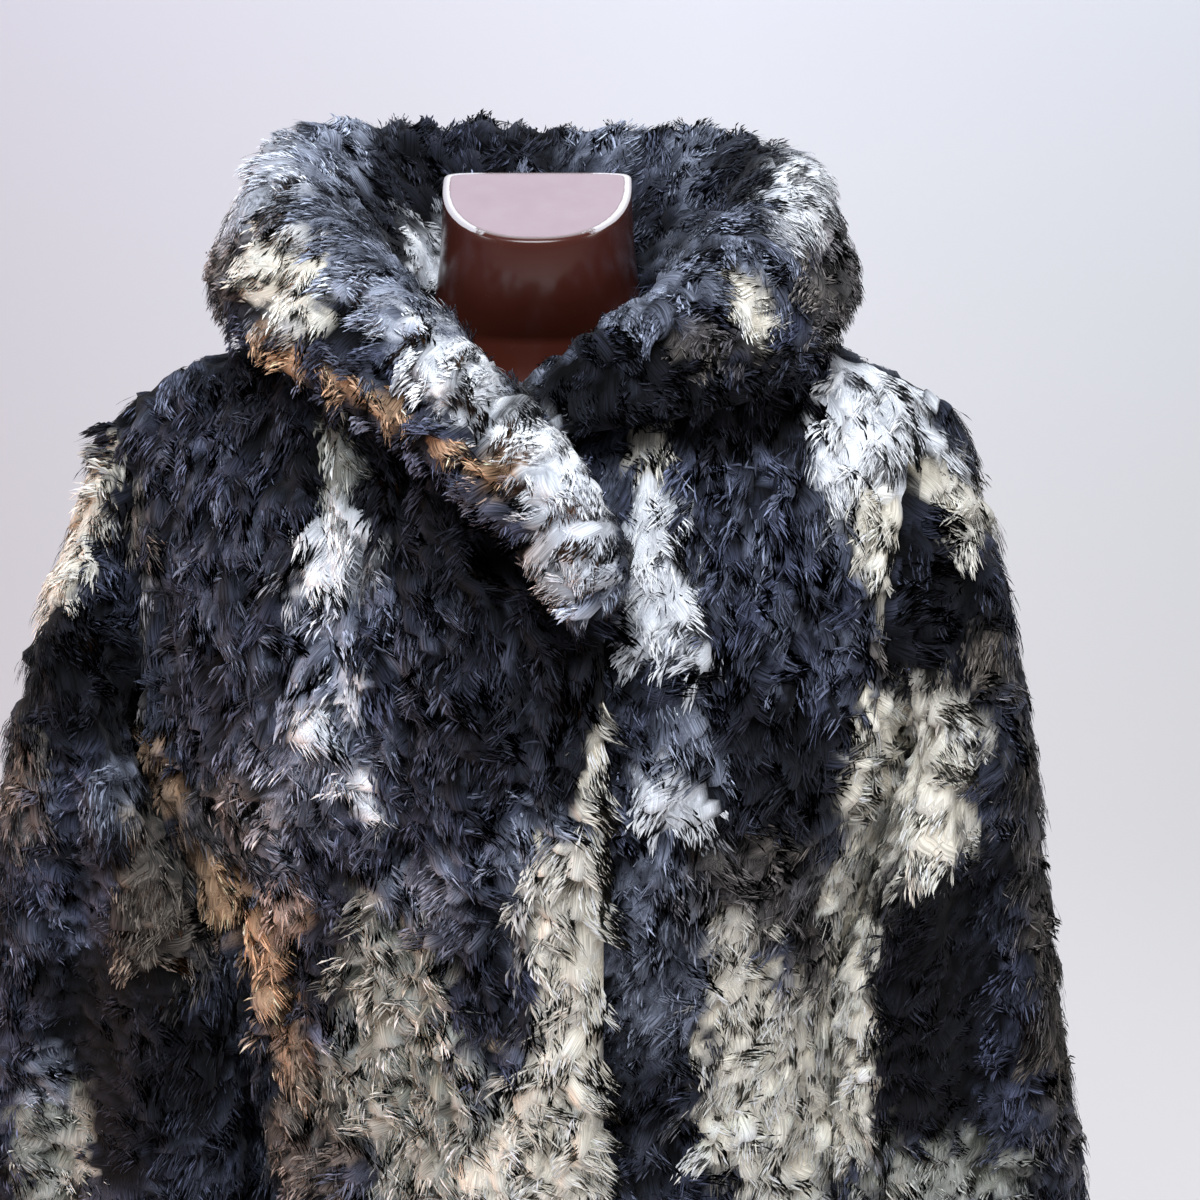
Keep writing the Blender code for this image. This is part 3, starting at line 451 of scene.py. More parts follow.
collarColumns = ("station", "crestX", "crestY", "crestZ", "edgeX", "edgeY", "edgeZ", "fold", "pile")
collarSections = [
    (0, 0.046, -0.172, 1.108, 0.022, -0.184, 1.086, 0.011, 0.016),
    (2, 0.032, -0.165, 1.141, 0.002, -0.168, 1.105, 0.012, 0.017),
    (4, 0.003, -0.150, 1.180, -0.028, -0.152, 1.140, 0.014, 0.018),
    (6, -0.048, -0.110, 1.225, -0.083, -0.132, 1.178, 0.015, 0.019),
    (7, -0.086, -0.080, 1.252, -0.130, -0.108, 1.199, 0.015, 0.020),
    (8, -0.126, -0.038, 1.282, -0.182, -0.070, 1.218, 0.016, 0.020),
    (9, -0.156, 0.018, 1.304, -0.198, 0.010, 1.226, 0.016, 0.020),
    (10, -0.147, 0.068, 1.316, -0.174, 0.084, 1.222, 0.016, 0.020),
    (11, -0.106, 0.099, 1.317, -0.124, 0.124, 1.215, 0.016, 0.020),
    (13, 0.000, 0.113, 1.314, 0.000, 0.143, 1.212, 0.016, 0.020),
    (15, 0.106, 0.099, 1.313, 0.124, 0.124, 1.215, 0.016, 0.020),
    (16, 0.143, 0.068, 1.310, 0.171, 0.084, 1.222, 0.016, 0.020),
    (17, 0.152, 0.018, 1.300, 0.193, 0.006, 1.226, 0.016, 0.020),
    (18, 0.128, -0.034, 1.282, 0.176, -0.070, 1.214, 0.015, 0.020),
    (19, 0.098, -0.070, 1.262, 0.144, -0.102, 1.196, 0.014, 0.018),
    (20, 0.064, -0.090, 1.247, 0.095, -0.116, 1.188, 0.013, 0.016),
    (22, 0.026, -0.098, 1.226, 0.027, -0.121, 1.182, 0.010, 0.012),
    (23, 0.006, -0.089, 1.214, 0.006, -0.110, 1.181, 0.008, 0.009),
    (24, -0.008, -0.081, 1.206, -0.009, -0.103, 1.179, 0.007, 0.007),
]


# The collar starts on these outer and inner points, from the right front edge to the left one.
def neckline(frontRight, frontLeft, back):
    found = []
    for layer in (0, 1):
        right = frontRight[layer][-1, : coat["neckColumns"] + 1]
        left = frontLeft[layer][-1, : coat["neckColumns"] + 1]
        nape = back[layer][-1, coat["backColumns"] : coat["backColumns"] + coat["napeColumns"] + 1]
        ends = [(right[-1] + nape[0]) / 2], [(left[-1] + nape[-1]) / 2]
        shownLeft = left[-2 : collar["hiddenColumns"] - 1 : -1]
        found.append(np.concatenate([right[:-1], ends[0], nape[1:-1], ends[1], shownLeft]))
    return found


# The line between the layers of the collar: up its stand, over the fold, down the fall.
def collarBacking(base, leaving, crest, edge, fold):
    rise, fall = unit(crest - base), unit(edge - crest)
    turn = math.acos(float(rise @ fall))
    side = unit(fall - (fall @ rise) * rise)

    def onFold(angle):
        return fold * (math.sin(angle) * rise - math.cos(angle) * side)

    centre = crest - onFold(turn / 2)
    first, last = centre + onFold(0), centre + onFold(turn)
    reach = np.linalg.norm(first - base)
    points = []
    for t in (0, 0.33, 0.66):
        points.append(
            (2 * t**3 - 3 * t**2 + 1) * base
            + (t**3 - 2 * t**2 + t) * reach * leaving * collar["standBow"]
            + (3 * t**2 - 2 * t**3) * first
            + (t**3 - t**2) * reach * rise
        )
    points += [centre + onFold(turn * share) for share in (0, 0.25, 0.5, 0.75, 1)]
    points += [last + (edge - last) * t for t in (0.25, 0.5, 0.75, 1.0)]
    return np.array(points)


# The collar's two layers as ((upper, backing), (under, backing)), each [rows, stations].
def collarWalls(frontRight, frontLeft, back):
    outerEdge, innerEdge = neckline(frontRight, frontLeft, back)
    tangent = unit(np.gradient(outerEdge, axis=0))
    leaving = unit(np.cross(tangent, unit(outerEdge - innerEdge)))
    leaving *= np.sign(leaving[:, 2:3])
    outerEdge = outerEdge + leaving * coat["collarGap"]
    innerEdge = innerEdge + leaving * coat["collarGap"]
    middle = (outerEdge + innerEdge) / 2
    stations = np.arange(len(middle))
    read = {n: lookedUp(collarSections, collarColumns, n, stations) for n in collarColumns[1:]}
    crest = np.stack([read["crestX"], read["crestY"], read["crestZ"]], -1)
    edge = np.stack([read["edgeX"], read["edgeY"], read["edgeZ"]], -1)
    lines = [collarBacking(middle[i], leaving[i], crest[i], edge[i], read["fold"][i]) for i in stations]
    backing = np.stack(lines, 1)
    toNeck = unit(np.cross(np.gradient(backing, axis=0), np.gradient(backing, axis=1)))
    toNeck *= -np.sign(toNeck[1, coat["neckColumns"] + coat["napeColumns"] // 2, 1])
    rows = np.linspace(0, 1, len(backing))[:, None]
    taper = 1 - collar["edgeTaper"] * smoothStep(collar["taperFrom"], 1.0, rows)
    grow = smoothStep(0, collar["full"], rows)[..., None]
    upperThick = (read["pile"] * taper)[..., None]
    underPile = np.minimum(collar["underPile"] * read["pile"], read["fold"] - collar["thinnest"])
    underThick = (underPile * taper)[..., None]
    upper = backing + grow * toNeck * upperThick + (1 - grow) * (innerEdge - middle)
    under = backing - grow * toNeck * underThick + (1 - grow) * (outerEdge - middle)
    half = toNeck * coat["seamGap"] / 2
    return (upper, backing + half), (under, backing - half)


form = {
    "shoulderEnd": 0.172,  # the sloping shoulder of the form ends this far out
    "shoulderDepths": [(0.048, 0.016), (0.028, 0.012), (0.003, 0.003)],  # front, back, going up
    "shoulderSquareness": 1.2,
    "neckCap": 1.308,  # the middle of the cap
    "neckHalfWidth": 0.0575,
    "neckRootHalf": 0.066,
    "neckRootFront": 0.062,
    "neckFront": 0.080,
    "neckBack": 0.016,
    "capTilt": 0.26,  # rise of the cap from front to back, per metre of depth
    "formPoints": 112,
    "formRings": (36, 9, 12),  # up to the shoulders, over their curve, and on their slope
    "shoulderCurve": (1.150, 1.165),  # heights between which the first two meet
    "ridgeSpare": 0.001,
    "neckSquareness": 2.3,
    "capSquareness": (2.3, 7.0),  # front and back
    "rootFlare": 0.02,  # the neck's root spreads by this, further down
    "rootFlareTo": 1.10,
    "rootFrontFrom": (1.02, 1.14),  # the neck's front comes out of the chest between these heights
    "capPivot": 0.030,
    "neckRings": 20,
    "formSeat": 0.0005,  # between the shoulders and the coat that lies on them
    "formBottom": 0.620,
}

formColumns = ("height", "halfWidth", "front", "back", "squareness", "backSquareness")
formSections = [
    (0.620, 0.150, 0.102, 0.022, 2.3, 7.0),
    (0.700, 0.160, 0.112, 0.022, 2.3, 7.0),
    (0.780, 0.148, 0.104, 0.022, 2.3, 7.0),
    (0.850, 0.128, 0.094, 0.022, 2.3, 7.0),
    (0.920, 0.138, 0.112, 0.022, 2.3, 7.0),
    (0.990, 0.152, 0.130, 0.022, 2.3, 7.0),
    (1.050, 0.163, 0.124, 0.022, 2.3, 7.0),
    (1.110, 0.172, 0.098, 0.022, 2.2, 7.0),
    (1.160, 0.176, 0.068, 0.021, 1.9, 4.0),
    (1.185, 0.174, 0.056, 0.018, 1.5, 2.0),
]


# An outline of the form: a rounded front, which may hold the neck's, and a flatter back.
def formOutline(halfWidth, front, back, squareness, flatness, neck=None):
    angles = np.linspace(0, 2 * math.pi, form["formPoints"], endpoint=False)
    c, s = np.cos(angles), np.sin(angles)
    power = np.where(s >= 0, 2 / squareness, 2 / flatness)
    x = halfWidth * np.sign(c) * np.abs(c) ** power
    y = -np.sign(s) * np.where(s >= 0, front, back) * np.abs(s) ** power
    if neck:
        (neckHalf, neckFront), bend = neck, form["neckSquareness"]
        inside = np.clip(1 - np.abs(x / neckHalf) ** bend, 0, 1) ** (1 / bend)
        both = ((neckFront * inside) ** 4 + np.abs(y) ** 4) ** 0.25
        y = np.where(s > 1e-9, -both, y)
    return x, y


# Heights and sizes of the outlines, from the bottom to the top of the shoulders.
def formLevels():
    spare, slope = form["ridgeSpare"], coat["shoulderSlope"]
    seat = coat["ridgeHeight"] - (coat["pile"] + form["formSeat"]) * math.hypot(1, slope)
    low = seat - slope * (form["shoulderEnd"] - coat["neckHalf"])
    sections = list(formSections)
    square = form["shoulderSquareness"]
    for height, (front, back) in zip(np.linspace(low, seat - spare, 3), form["shoulderDepths"]):
        out = coat["neckHalf"] + (seat - height) / slope
        sections.append((height, out, front, back, square, square))
    seat -= spare
    (curveFrom, curveTo), counts = form["shoulderCurve"], form["formRings"]
    spans = (form["formBottom"], curveFrom), (curveTo, low), (low, seat)
    spread = [np.linspace(*span, count) for span, count in zip(spans, counts)]
    heights = np.concatenate([spread[0], spread[1], spread[2][1:]])
    sizes = [lookedUp(sections, formColumns, name, heights) for name in formColumns[1:]]
    sloped = coat["neckHalf"] + (seat + spare - heights) / slope
    sizes[0] = np.where(heights > low, sloped, sizes[0])
    return seat, zip(heights, *sizes)


# A curve through the points of the first axis, read at count even places from start to end: between two
# points it is the cubic whose slope at each is half the step between that point's neighbours.
def resample(points, count, start=0.0, end=1.0, closed=False):
    total = len(points) if closed else len(points) - 1
    places = np.linspace(start * total, end * total, count, endpoint=not closed)
    i = np.minimum(places.astype(int), total - 1)
    f = (places - i)[:, None, None]
    last = len(points) - 1
    picked = [(i + k) % len(points) if closed else np.clip(i + k, 0, last) for k in (-1, 0, 1, 2)]
    a, b, c, d = (points[k] for k in picked)
    return 0.5 * (2 * b + (c - a) * f + (2 * a - 5 * b + 4 * c - d) * f**2 + (3 * b - a - 3 * c + d) * f**3)


# A wall's two faces on a finer grid, moved to the world, with the trims that pull free edges in.
def finerWall(outer, inner, rows, columns, trim=(0, 1, 0, 1), closed=False):
    made = []
    for layer in (outer, inner):
        fine = resample(np.asarray(layer), rows, trim[0], trim[1])
        fine = resample(fine.transpose(1, 0, 2), columns, trim[2], trim[3], closed).transpose(1, 0, 2)
        made.append(fine + np.array([0, coat["poleToRidge"], 0]))
    return made


# Outward normals of a wall's outer face, and its direction along the rows: the normal is the cross
# product of the face's two directions, turned away from the inner face.
def wallNormals(outer, inner, closed=False):
    along = np.gradient(outer, axis=0)
    across = np.gradient(outer, axis=1)
    if closed:
        across = np.roll(outer, -1, 1) - np.roll(outer, 1, 1)
    normal = unit(np.cross(along, across) + 1e-12)
    return normal * np.sign(((outer - inner) * normal).sum(-1, keepdims=True)), unit(along + 1e-12)


# Slow waves through each other, from -1 to 1, at a given length in metres; offset picks another set.
def waves(points, length, offset=0.0):
    x, y, z = (2 * math.pi / length * points[..., k] + offset * (k + 1.3) for k in range(3))
    return (
        np.sin(x + 1.7 * np.sin(0.43 * z + offset)) * np.sin(0.81 * z + 1.3 * np.sin(0.37 * x + 0.9 * y))
        + np.sin(0.9 * y + 0.6 * z + 2.0) * np.sin(0.55 * x - 0.95 * z + 0.7)
    ) / 1.6


# Puts whole arrays into a mesh: corners is [faces, 3 or 4], and tips are further triangles.
def meshFrom(name, points, corners, tips=None):
    mesh = bpy.data.meshes.new(name)
    lists = [corners] + ([tips] if tips is not None else [])
    loops = np.concatenate([part.ravel() for part in lists]).astype(np.int32)
    sizes = np.concatenate([np.full(len(part), part.shape[1]) for part in lists])
    starts = (np.cumsum(sizes) - sizes).astype(np.int32)
    mesh.vertices.add(len(points))
    mesh.vertices.foreach_set("co", points.astype(np.float32).ravel())
    mesh.loops.add(len(loops))
    mesh.loops.foreach_set("vertex_index", loops)
    mesh.polygons.add(len(sizes))
    mesh.polygons.foreach_set("loop_start", starts)
    mesh.polygons.foreach_set("use_smooth", np.ones(len(sizes), bool))
    mesh.update(calc_edges=True)
    made = bpy.data.objects.new(name, mesh)
    bpy.context.scene.collection.objects.link(made)
    return made


# Writes colours to a point attribute, which the materials read.
def paint(piece, colours, name="furTone"):
    layer = piece.data.color_attributes.new(name, "FLOAT_COLOR", "POINT")
    rgba = np.concatenate([colours, np.ones((len(colours), 1))], 1)
    layer.data.foreach_set("color", rgba.astype(np.float32).ravel())


# Corners of the quads of a grid [rows, columns], optionally closed round its columns.
def gridQuads(rows, columns, closed=False, flip=False):
    r, c = np.meshgrid(np.arange(rows - 1), np.arange(columns if closed else columns - 1), indexing="ij")
    n = (c + 1) % columns
    quads = np.stack([r * columns + c, r * columns + n, (r + 1) * columns + n, (r + 1) * columns + c], -1)
    quads = quads.reshape(-1, 4)
    return quads[:, ::-1] if flip else quads


# Triangles from a fine edge to a coarse one that has every k-th point: a fan from each coarse point
# over its k fine steps, and one more on to the next coarse point.
def edgeStrip(fine, coarse, every, turned):
    step = np.arange(len(fine) - 1)
    fans = np.stack([coarse[step // every], fine[step], fine[step + 1]], -1)
    links = np.stack([coarse[:-1], fine[every::every], coarse[1:]], -1)
    strip = np.concatenate([fans, links])
    return strip[:, ::-1] if turned else strip


# A closed shell: its outer face on a fine grid, its inner one on every k-th row and column.
def shell(name, outer, inner, closed=False, every=4):
    rows, columns = outer.shape[:2]
    count = rows * columns
    faceOut = gridQuads(rows, columns, closed)
    a, b, c = (outer.reshape(-1, 3)[faceOut[:, k]] for k in (0, 1, 2))
    outward = (np.cross(b - a, c - a) * (outer - inner).reshape(-1, 3)[faceOut[:, 0]]).sum(-1).sum()
    inner = inner[::every, ::every]
    faceIn = gridQuads(*inner.shape[:2], closed)[:, ::-1] + count
    fine = np.arange(count).reshape(rows, columns)
    coarse = np.arange(inner.shape[0] * inner.shape[1]).reshape(inner.shape[:2]) + count
    strips = []
    if closed:
        fine, coarse = np.hstack([fine, fine[:, :1]]), np.hstack([coarse, coarse[:, :1]])
    else:
        strips += [edgeStrip(fine[:, k], coarse[:, k], every, k < 0) for k in (0, -1)]
    strips += [edgeStrip(fine[k], coarse[k], every, k == 0) for k in (0, -1)]
    quads, strips = np.concatenate([faceOut, faceIn]), np.concatenate(strips)
    if outward < 0:
        quads, strips = quads[:, ::-1], strips[:, ::-1]
    return meshFrom(name, np.concatenate([outer.reshape(-1, 3), inner.reshape(-1, 3)]), quads, strips)


# The fur's sizes, in metres unless a note says otherwise.
furStyle = {
    "seed": 11,
    "sunk": 0.42,  # the pile's bed lies this share of the wall's thickness under its outer face
    "edgeSunk": 0.5,  # so much deeper on a free edge
    "edgeSteps": 4,  # fading over this many rows or columns of the grid
    "fuller": 0.34,  # so much less deep where a sleeve and the body face each other
    "tuft": 0.0115,  # tufts stand this far apart
    "long": 0.025,
    "wide": 0.0070,  # half a tuft's width
    "high": 0.0078,
    "bend": 0.55,  # how far a tuft's tip curls aside, in half widths
    "swirl": 0.8,  # radians that tufts turn away from the way down, by these waves and at random
    "swirlWaves": ((0.8, 0.075, 3.0), (0.5, 0.028, 6.0)),  # share, length and offset
    "swirlRandom": 0.35,
    "hair": 0.0195,  # a hair's length
    "lift": 0.0044,
    "curl": 0.0040,
    "turn": 3.6,  # radians of its curl
    "width": 0.00021,  # half a hair's width at the root
    "taper": 0.85,
    "twist": 0.15,  # radians about its own line
    "stray": 0.07,
    "rooted": 0.0012,  # it starts this far under the bed
    "steps": 3,  # its triangles
}

# Colours of the fur from root over middle to tip, linear red, green and blue.
furColours = {
    "black": ((0.0010, 0.0010, 0.0015), (0.0025, 0.0025, 0.0035), (0.012, 0.0125, 0.018)),
    "blue": ((0.0012, 0.0012, 0.002), (0.005, 0.0055, 0.009), (0.072, 0.082, 0.135)),
    "frost": ((0.024, 0.027, 0.037), (0.086, 0.096, 0.132), (0.36, 0.395, 0.49)),
    "white": ((0.40, 0.42, 0.46), (0.72, 0.74, 0.78), (0.92, 0.93, 0.95)),
    "cream": ((0.42, 0.36, 0.27), (0.80, 0.73, 0.60), (0.94, 0.90, 0.80)),
    "sage": ((0.10, 0.10, 0.078), (0.25, 0.255, 0.21), (0.52, 0.53, 0.49)),
    # This tone is painted warm light: the orange that a warm lamp low on the left throws on edges facing
    # it.
    "paintedWarmLight": ((0.05, 0.025, 0.012), (0.30, 0.17, 0.09), (0.78, 0.54, 0.35)),
    "taupe": ((0.004, 0.0035, 0.003), (0.024, 0.020, 0.017), (0.24, 0.205, 0.17)),
}

# Patches of another tone on each piece, the later ones over the earlier: the tone, the middle in the
# picture, half width and half height in its pixels, how far the patch leans across per pixel down, and
# its strength.
# Some patches are painted light and shade: the warm light tone, and the black patches marked as painted
# shade.
patchColumns = ("tone", "pixelsAcross", "pixelsDown", "halfWide", "halfHigh", "lean", "strength")
patches = {
    "frontRight": [
        ("black", 215, 560, 100, 170, 0, 0.4),
        # painted shade: the dark on the front under the lapel's edge
        ("black", 450, 495, 140, 90, 0, 1),
        ("black", 545, 600, 50, 62, 0, 0.95),
        ("black", 290, 400, 80, 45, 0, 0.9),
        ("black", 490, 700, 85, 110, 0, 0.75),
        ("black", 575, 690, 26, 90, 0, 0.85),
        ("sage", 352, 460, 18, 60, 0, 0.5),
        ("white", 340, 566, 36, 46, -0.1, 0.9),
        ("frost", 330, 635, 34, 30, 0, 0.75),
        ("frost", 335, 705, 34, 50, 0, 1),
        ("white", 325, 728, 22, 26, 0, 0.8),
        ("white", 357, 680, 10, 14, 0, 0.6),
        ("frost", 345, 775, 46, 34, 0.2, 0.65),
        ("white", 366, 800, 13, 26, 0.3, 0.9),
        ("frost", 285, 785, 16, 50, 0.15, 0.6),
        ("frost", 285, 870, 18, 50, 0.1, 0.5),
        ("frost", 425, 900, 40, 40, 0.1, 0.5),
        ("sage", 395, 990, 50, 76, 0.05, 0.95),
        ("sage", 400, 1085, 66, 70, 0, 1),
        ("sage", 455, 1150, 66, 50, 0, 0.95),
        ("frost", 545, 855, 44, 44, 0, 0.7),
        ("cream", 565, 910, 34, 60, 0, 0.85),
        ("cream", 572, 990, 30, 90, 0, 1),
        ("cream", 560, 1100, 46, 70, 0, 1),
        ("cream", 545, 1175, 80, 46, 0, 1),
        ("cream", 598, 795, 14, 60, 0, 0.9),
        ("cream", 602, 900, 14, 110, 0, 0.9),
        ("black", 498, 985, 24, 56, 0.1, 0.6),
        ("black", 325, 965, 24, 40, 0, 0.8),
        # painted warm light on the fold edges of the front that face left and down
        ("paintedWarmLight", 140, 735, 26, 22, 0.5, 0.7),
        ("paintedWarmLight", 172, 780, 12, 36, 0.4, 0.8),
        ("paintedWarmLight", 228, 890, 20, 48, 0.4, 1),
        ("paintedWarmLight", 268, 950, 16, 60, 0.3, 0.85),
        ("paintedWarmLight", 300, 1060, 18, 50, 0.2, 0.6),
        ("paintedWarmLight", 295, 920, 14, 40, 0.1, 0.4),
        ("taupe", 320, 1140, 40, 60, 0.1, 0.8),
        ("taupe", 145, 600, 16, 110, 0, 0.6),
        ("taupe", 240, 825, 40, 40, 0.2, 0.5),
        ("cream", 560, 1260, 44, 90, 0.1, 0.95),
        ("sage", 420, 1245, 40, 70, 0.1, 0.8),
        # painted warm light
        ("paintedWarmLight", 335, 1330, 20, 70, 0.1, 0.5),
        ("white", 430, 1430, 40, 60, 0, 0.7),
    ],
    "frontLeft": [
        ("cream", 800, 1265, 40, 90, 0, 0.9),
        ("frost", 700, 1410, 50, 70, 0, 0.6),
        # painted shade: the shadow that the collar's fall casts on the front under its edge
        ("black", 740, 425, 100, 34, 0, 1),
        ("black", 622, 650, 24, 60, 0, 0.8),
        ("black", 770, 775, 70, 75, 0, 0.85),
        ("black", 670, 690, 36, 36, 0, 0.6),
        ("black", 650, 1100, 44, 100, 0, 0.7),
        ("cream", 648, 465, 17, 34, 0, 0.9),
        ("white", 660, 535, 20, 40, 0, 0.9),
        ("white", 660, 608, 34, 52, 0, 1),
        ("white", 692, 655, 9, 30, 0.2, 0.7),
        ("frost", 680, 760, 40, 40, 0, 0.75),
        ("white", 672, 810, 28, 34, 0.2, 0.8),
        ("frost", 655, 950, 50, 100, 0, 0.45),
        ("taupe", 750, 890, 70, 50, 0, 0.55),
        ("taupe", 810, 1000, 26, 70, 0.05, 0.65),
        ("cream", 738, 1000, 34, 70, 0.05, 0.95),
        ("cream", 750, 1110, 52, 70, 0, 1),
        ("cream", 795, 1160, 60, 56, 0, 1),
        ("cream", 796, 1060, 40, 70, 0, 0.9),
        ("cream", 846, 950, 28, 125, 0.05, 1),
        ("cream", 840, 1080, 26, 80, 0, 0.95),
        ("cream", 872, 775, 34, 76, -0.05, 1),
        ("white", 872, 405, 54, 62, -0.2, 1),
        ("white", 866, 485, 38, 62, 0, 1),
        ("cream", 876, 560, 28, 60, 0.2, 1),
        ("cream", 897, 610, 8, 40, 0.1, 0.9),
        ("taupe", 880, 655, 20, 38, 0, 0.7),
    ],
    "back": [
        ("frost", 885, 368, 60, 24, 0, 0.9),
    ],
    "sleeveLeft": [
        ("white", 912, 420, 28, 52, 0.1, 0.8),
        ("black", 918, 500, 14, 60, 0.1, 0.8),
        ("cream", 955, 510, 26, 38, 0.1, 0.8),
        ("black", 945, 620, 52, 62, 0, 1),
        ("taupe", 990, 670, 16, 40, 0, 0.7),
        ("taupe", 930, 705, 32, 24, 0, 0.7),
        ("taupe", 905, 910, 40, 60, 0, 0.7),
        ("black", 935, 1010, 60, 140, 0, 1),
        ("taupe", 1040, 900, 20, 260, 0.08, 0.55),
        ("cream", 914, 780, 66, 84, 0, 1),
        ("frost", 966, 765, 8, 44, 0, 0.3),
        ("cream", 856, 940, 24, 120, 0, 1),
        ("cream", 854, 1070, 24, 90, 0, 1),
        ("sage", 945, 1178, 66, 32, 0, 0.95),
        ("frost", 1010, 1330, 40, 50, 0, 0.6),
    ],
    "sleeveRight": [
        ("cream", 55, 1290, 30, 60, 0, 0.7),
        ("cream", 84, 535, 15, 76, -0.3, 0.8),
        ("black", 85, 680, 48, 56, 0, 1),
        # painted shade: the deep shade in the recess between the sleeve and the body
        ("black", 120, 1050, 70, 110, 0, 1),
        ("sage", 55, 1150, 36, 60, 0, 0.95),
        ("frost", 45, 1085, 26, 30, 0, 0.8),
        ("taupe", 30, 800, 20, 60, 0, 0.5),
        # painted warm light on the sleeve's edges that face left
        ("paintedWarmLight", 165, 785, 14, 40, 0.4, 0.7),
        ("paintedWarmLight", 225, 890, 22, 50, 0.4, 1),
        ("taupe", 150, 860, 28, 80, 0.1, 0.9),
        ("taupe", 155, 935, 30, 50, 0.1, 0.8),
        ("frost", 110, 790, 14, 20, 0, 0.6),
    ],
    "collarUpper": [
        ("black", 430, 150, 130, 36, 0, 0.8),
        ("black", 375, 205, 60, 44, 0, 0.9),
        ("black", 655, 225, 30, 36, 0, 0.8),
        ("white", 419, 265, 20, 44, 0, 1),
        ("frost", 325, 150, 42, 40, 0, 0.85),
        ("frost", 268, 190, 44, 60, 0, 0.9),
        ("white", 272, 205, 30, 54, 0, 0.35),
        ("taupe", 225, 250, 24, 60, 0, 0.6),
        ("cream", 290, 290, 32, 44, 0.1, 0.85),
        ("frost", 330, 235, 30, 40, 0.2, 0.5),
        ("cream", 362, 305, 14, 20, 0.2, 0.7),
        ("black", 205, 310, 24, 30, 0, 0.8),
        ("frost", 400, 312, 58, 46, 0.5, 0.95),
        ("black", 350, 362, 16, 24, 1.4, 0.6),
        # painted warm light under the collar's lower left edge
        ("paintedWarmLight", 282, 365, 20, 30, 0.1, 0.9),
        ("paintedWarmLight", 385, 418, 18, 52, 1.5, 0.75),
        ("white", 510, 432, 44, 96, 0.85, 1),
        ("frost", 572, 565, 38, 62, 0.1, 0.95),
        ("white", 566, 545, 36, 66, 0.1, 0.6),
        ("taupe", 540, 585, 12, 50, 0.2, 0.6),
        ("black", 480, 430, 12, 24, 1, 0.6),
        # painted warm light under the lapel's edge
        ("paintedWarmLight", 494, 478, 14, 24, 0, 0.9),
        # painted shade: the dark under the lapel's lower edge
        ("black", 405, 500, 40, 64, 1.3, 1),
        ("black", 482, 575, 16, 50, 0.8, 0.95),
        ("frost", 598, 150, 34, 20, 0, 0.6),
        ("frost", 690, 170, 20, 34, 0, 0.6),
        ("black", 745, 175, 34, 30, 0, 0.85),
        ("white", 800, 198, 27, 38, -0.1, 0.95),
        ("frost", 712, 262, 60, 36, -0.2, 0.55),
        ("taupe", 832, 280, 26, 80, 0, 0.6),
        ("black", 650, 390, 150, 44, 0, 0.95),
        ("black", 780, 390, 60, 36, 0, 0.9),
        ("taupe", 720, 350, 60, 20, 0, 0.4),
        ("frost", 640, 310, 24, 32, 0, 0.85),
        ("cream", 753, 322, 18, 30, 0.1, 0.8),
        ("frost", 522, 375, 26, 16, 0, 0.6),
    ],
    "collarUnder": [],
}

toneStyle = {
    "deep": 0.13,  # a patch reaches this far along the view, before or behind where it is seen
    "around": 15,  # pixels about its middle in which its depth is read
    "edge": ((0.22, 0.034, 2.0), (0.14, 0.014, 5.0)),  # waves that bend its edge: share, length, offset
    "soft": (1.32, 0.92),  # it fades between these shares of its size
    "frosting": ((0.75, 0.11, 1.0), (0.5, 0.045, 4.0)),  # waves that spread the ground's second tone
    "turned": (0.0, -0.35),  # how squarely the fur faces the camera, from seen to turned away
    "crests": (0.21, 7.0),  # length and offset of the waves where it is turned away
    "frostCrest": (0.30, 0.55),
    "creamCrest": (0.55, 0.75),
    "pale": (0.15, 0.5),  # brightness of a middle tone, from dark to pale fur
    "backing": (0.012, 0.012, 0.014),  # the inside of the cloth
    "brightest": 0.94,
}


# Where the camera sees a point, in pixels across and down, and how deep it lies along the view.
def seenAt(points):
    apart = points - np.array(camera["place"])
    tilt = math.radians(camera["tiltDown"])
    deep = apart[..., 1] * math.cos(tilt) - apart[..., 2] * math.sin(tilt)
    high = apart[..., 1] * math.sin(tilt) + apart[..., 2] * math.cos(tilt)
    scale = camera["lens"] / camera["sensor"] * camera["picture"] / deep
    return camera["picture"] / 2 + apart[..., 0] * scale, camera["picture"] / 2 - high * scale, deep


# How squarely a surface faces the camera, from -1 to 1.
def facing(points, normal):
    return (unit(np.array(camera["place"]) - points) * normal).sum(-1)


# The patches of a piece, each with the depth at which the camera meets the piece there.
def patchesOf(piece, outer, normal):
    across, down, deep = seenAt(outer)
    hidden = facing(outer, normal) < 0.05
    found = []
    for row in patches[piece]:
        p = dict(zip(patchColumns, row))
        away = np.hypot(across - p["pixelsAcross"], down - p["pixelsDown"]) + 1e3 * hidden
        found.append({**p, "deep": deep[away < away.min() + toneStyle["around"]].mean()})
    return found


# A value with waves added: each row is a share, a length and an offset.
def withWaves(value, points, rows):
    for share, length, offset in rows:
        value = value + share * waves(points, length, offset)
    return value


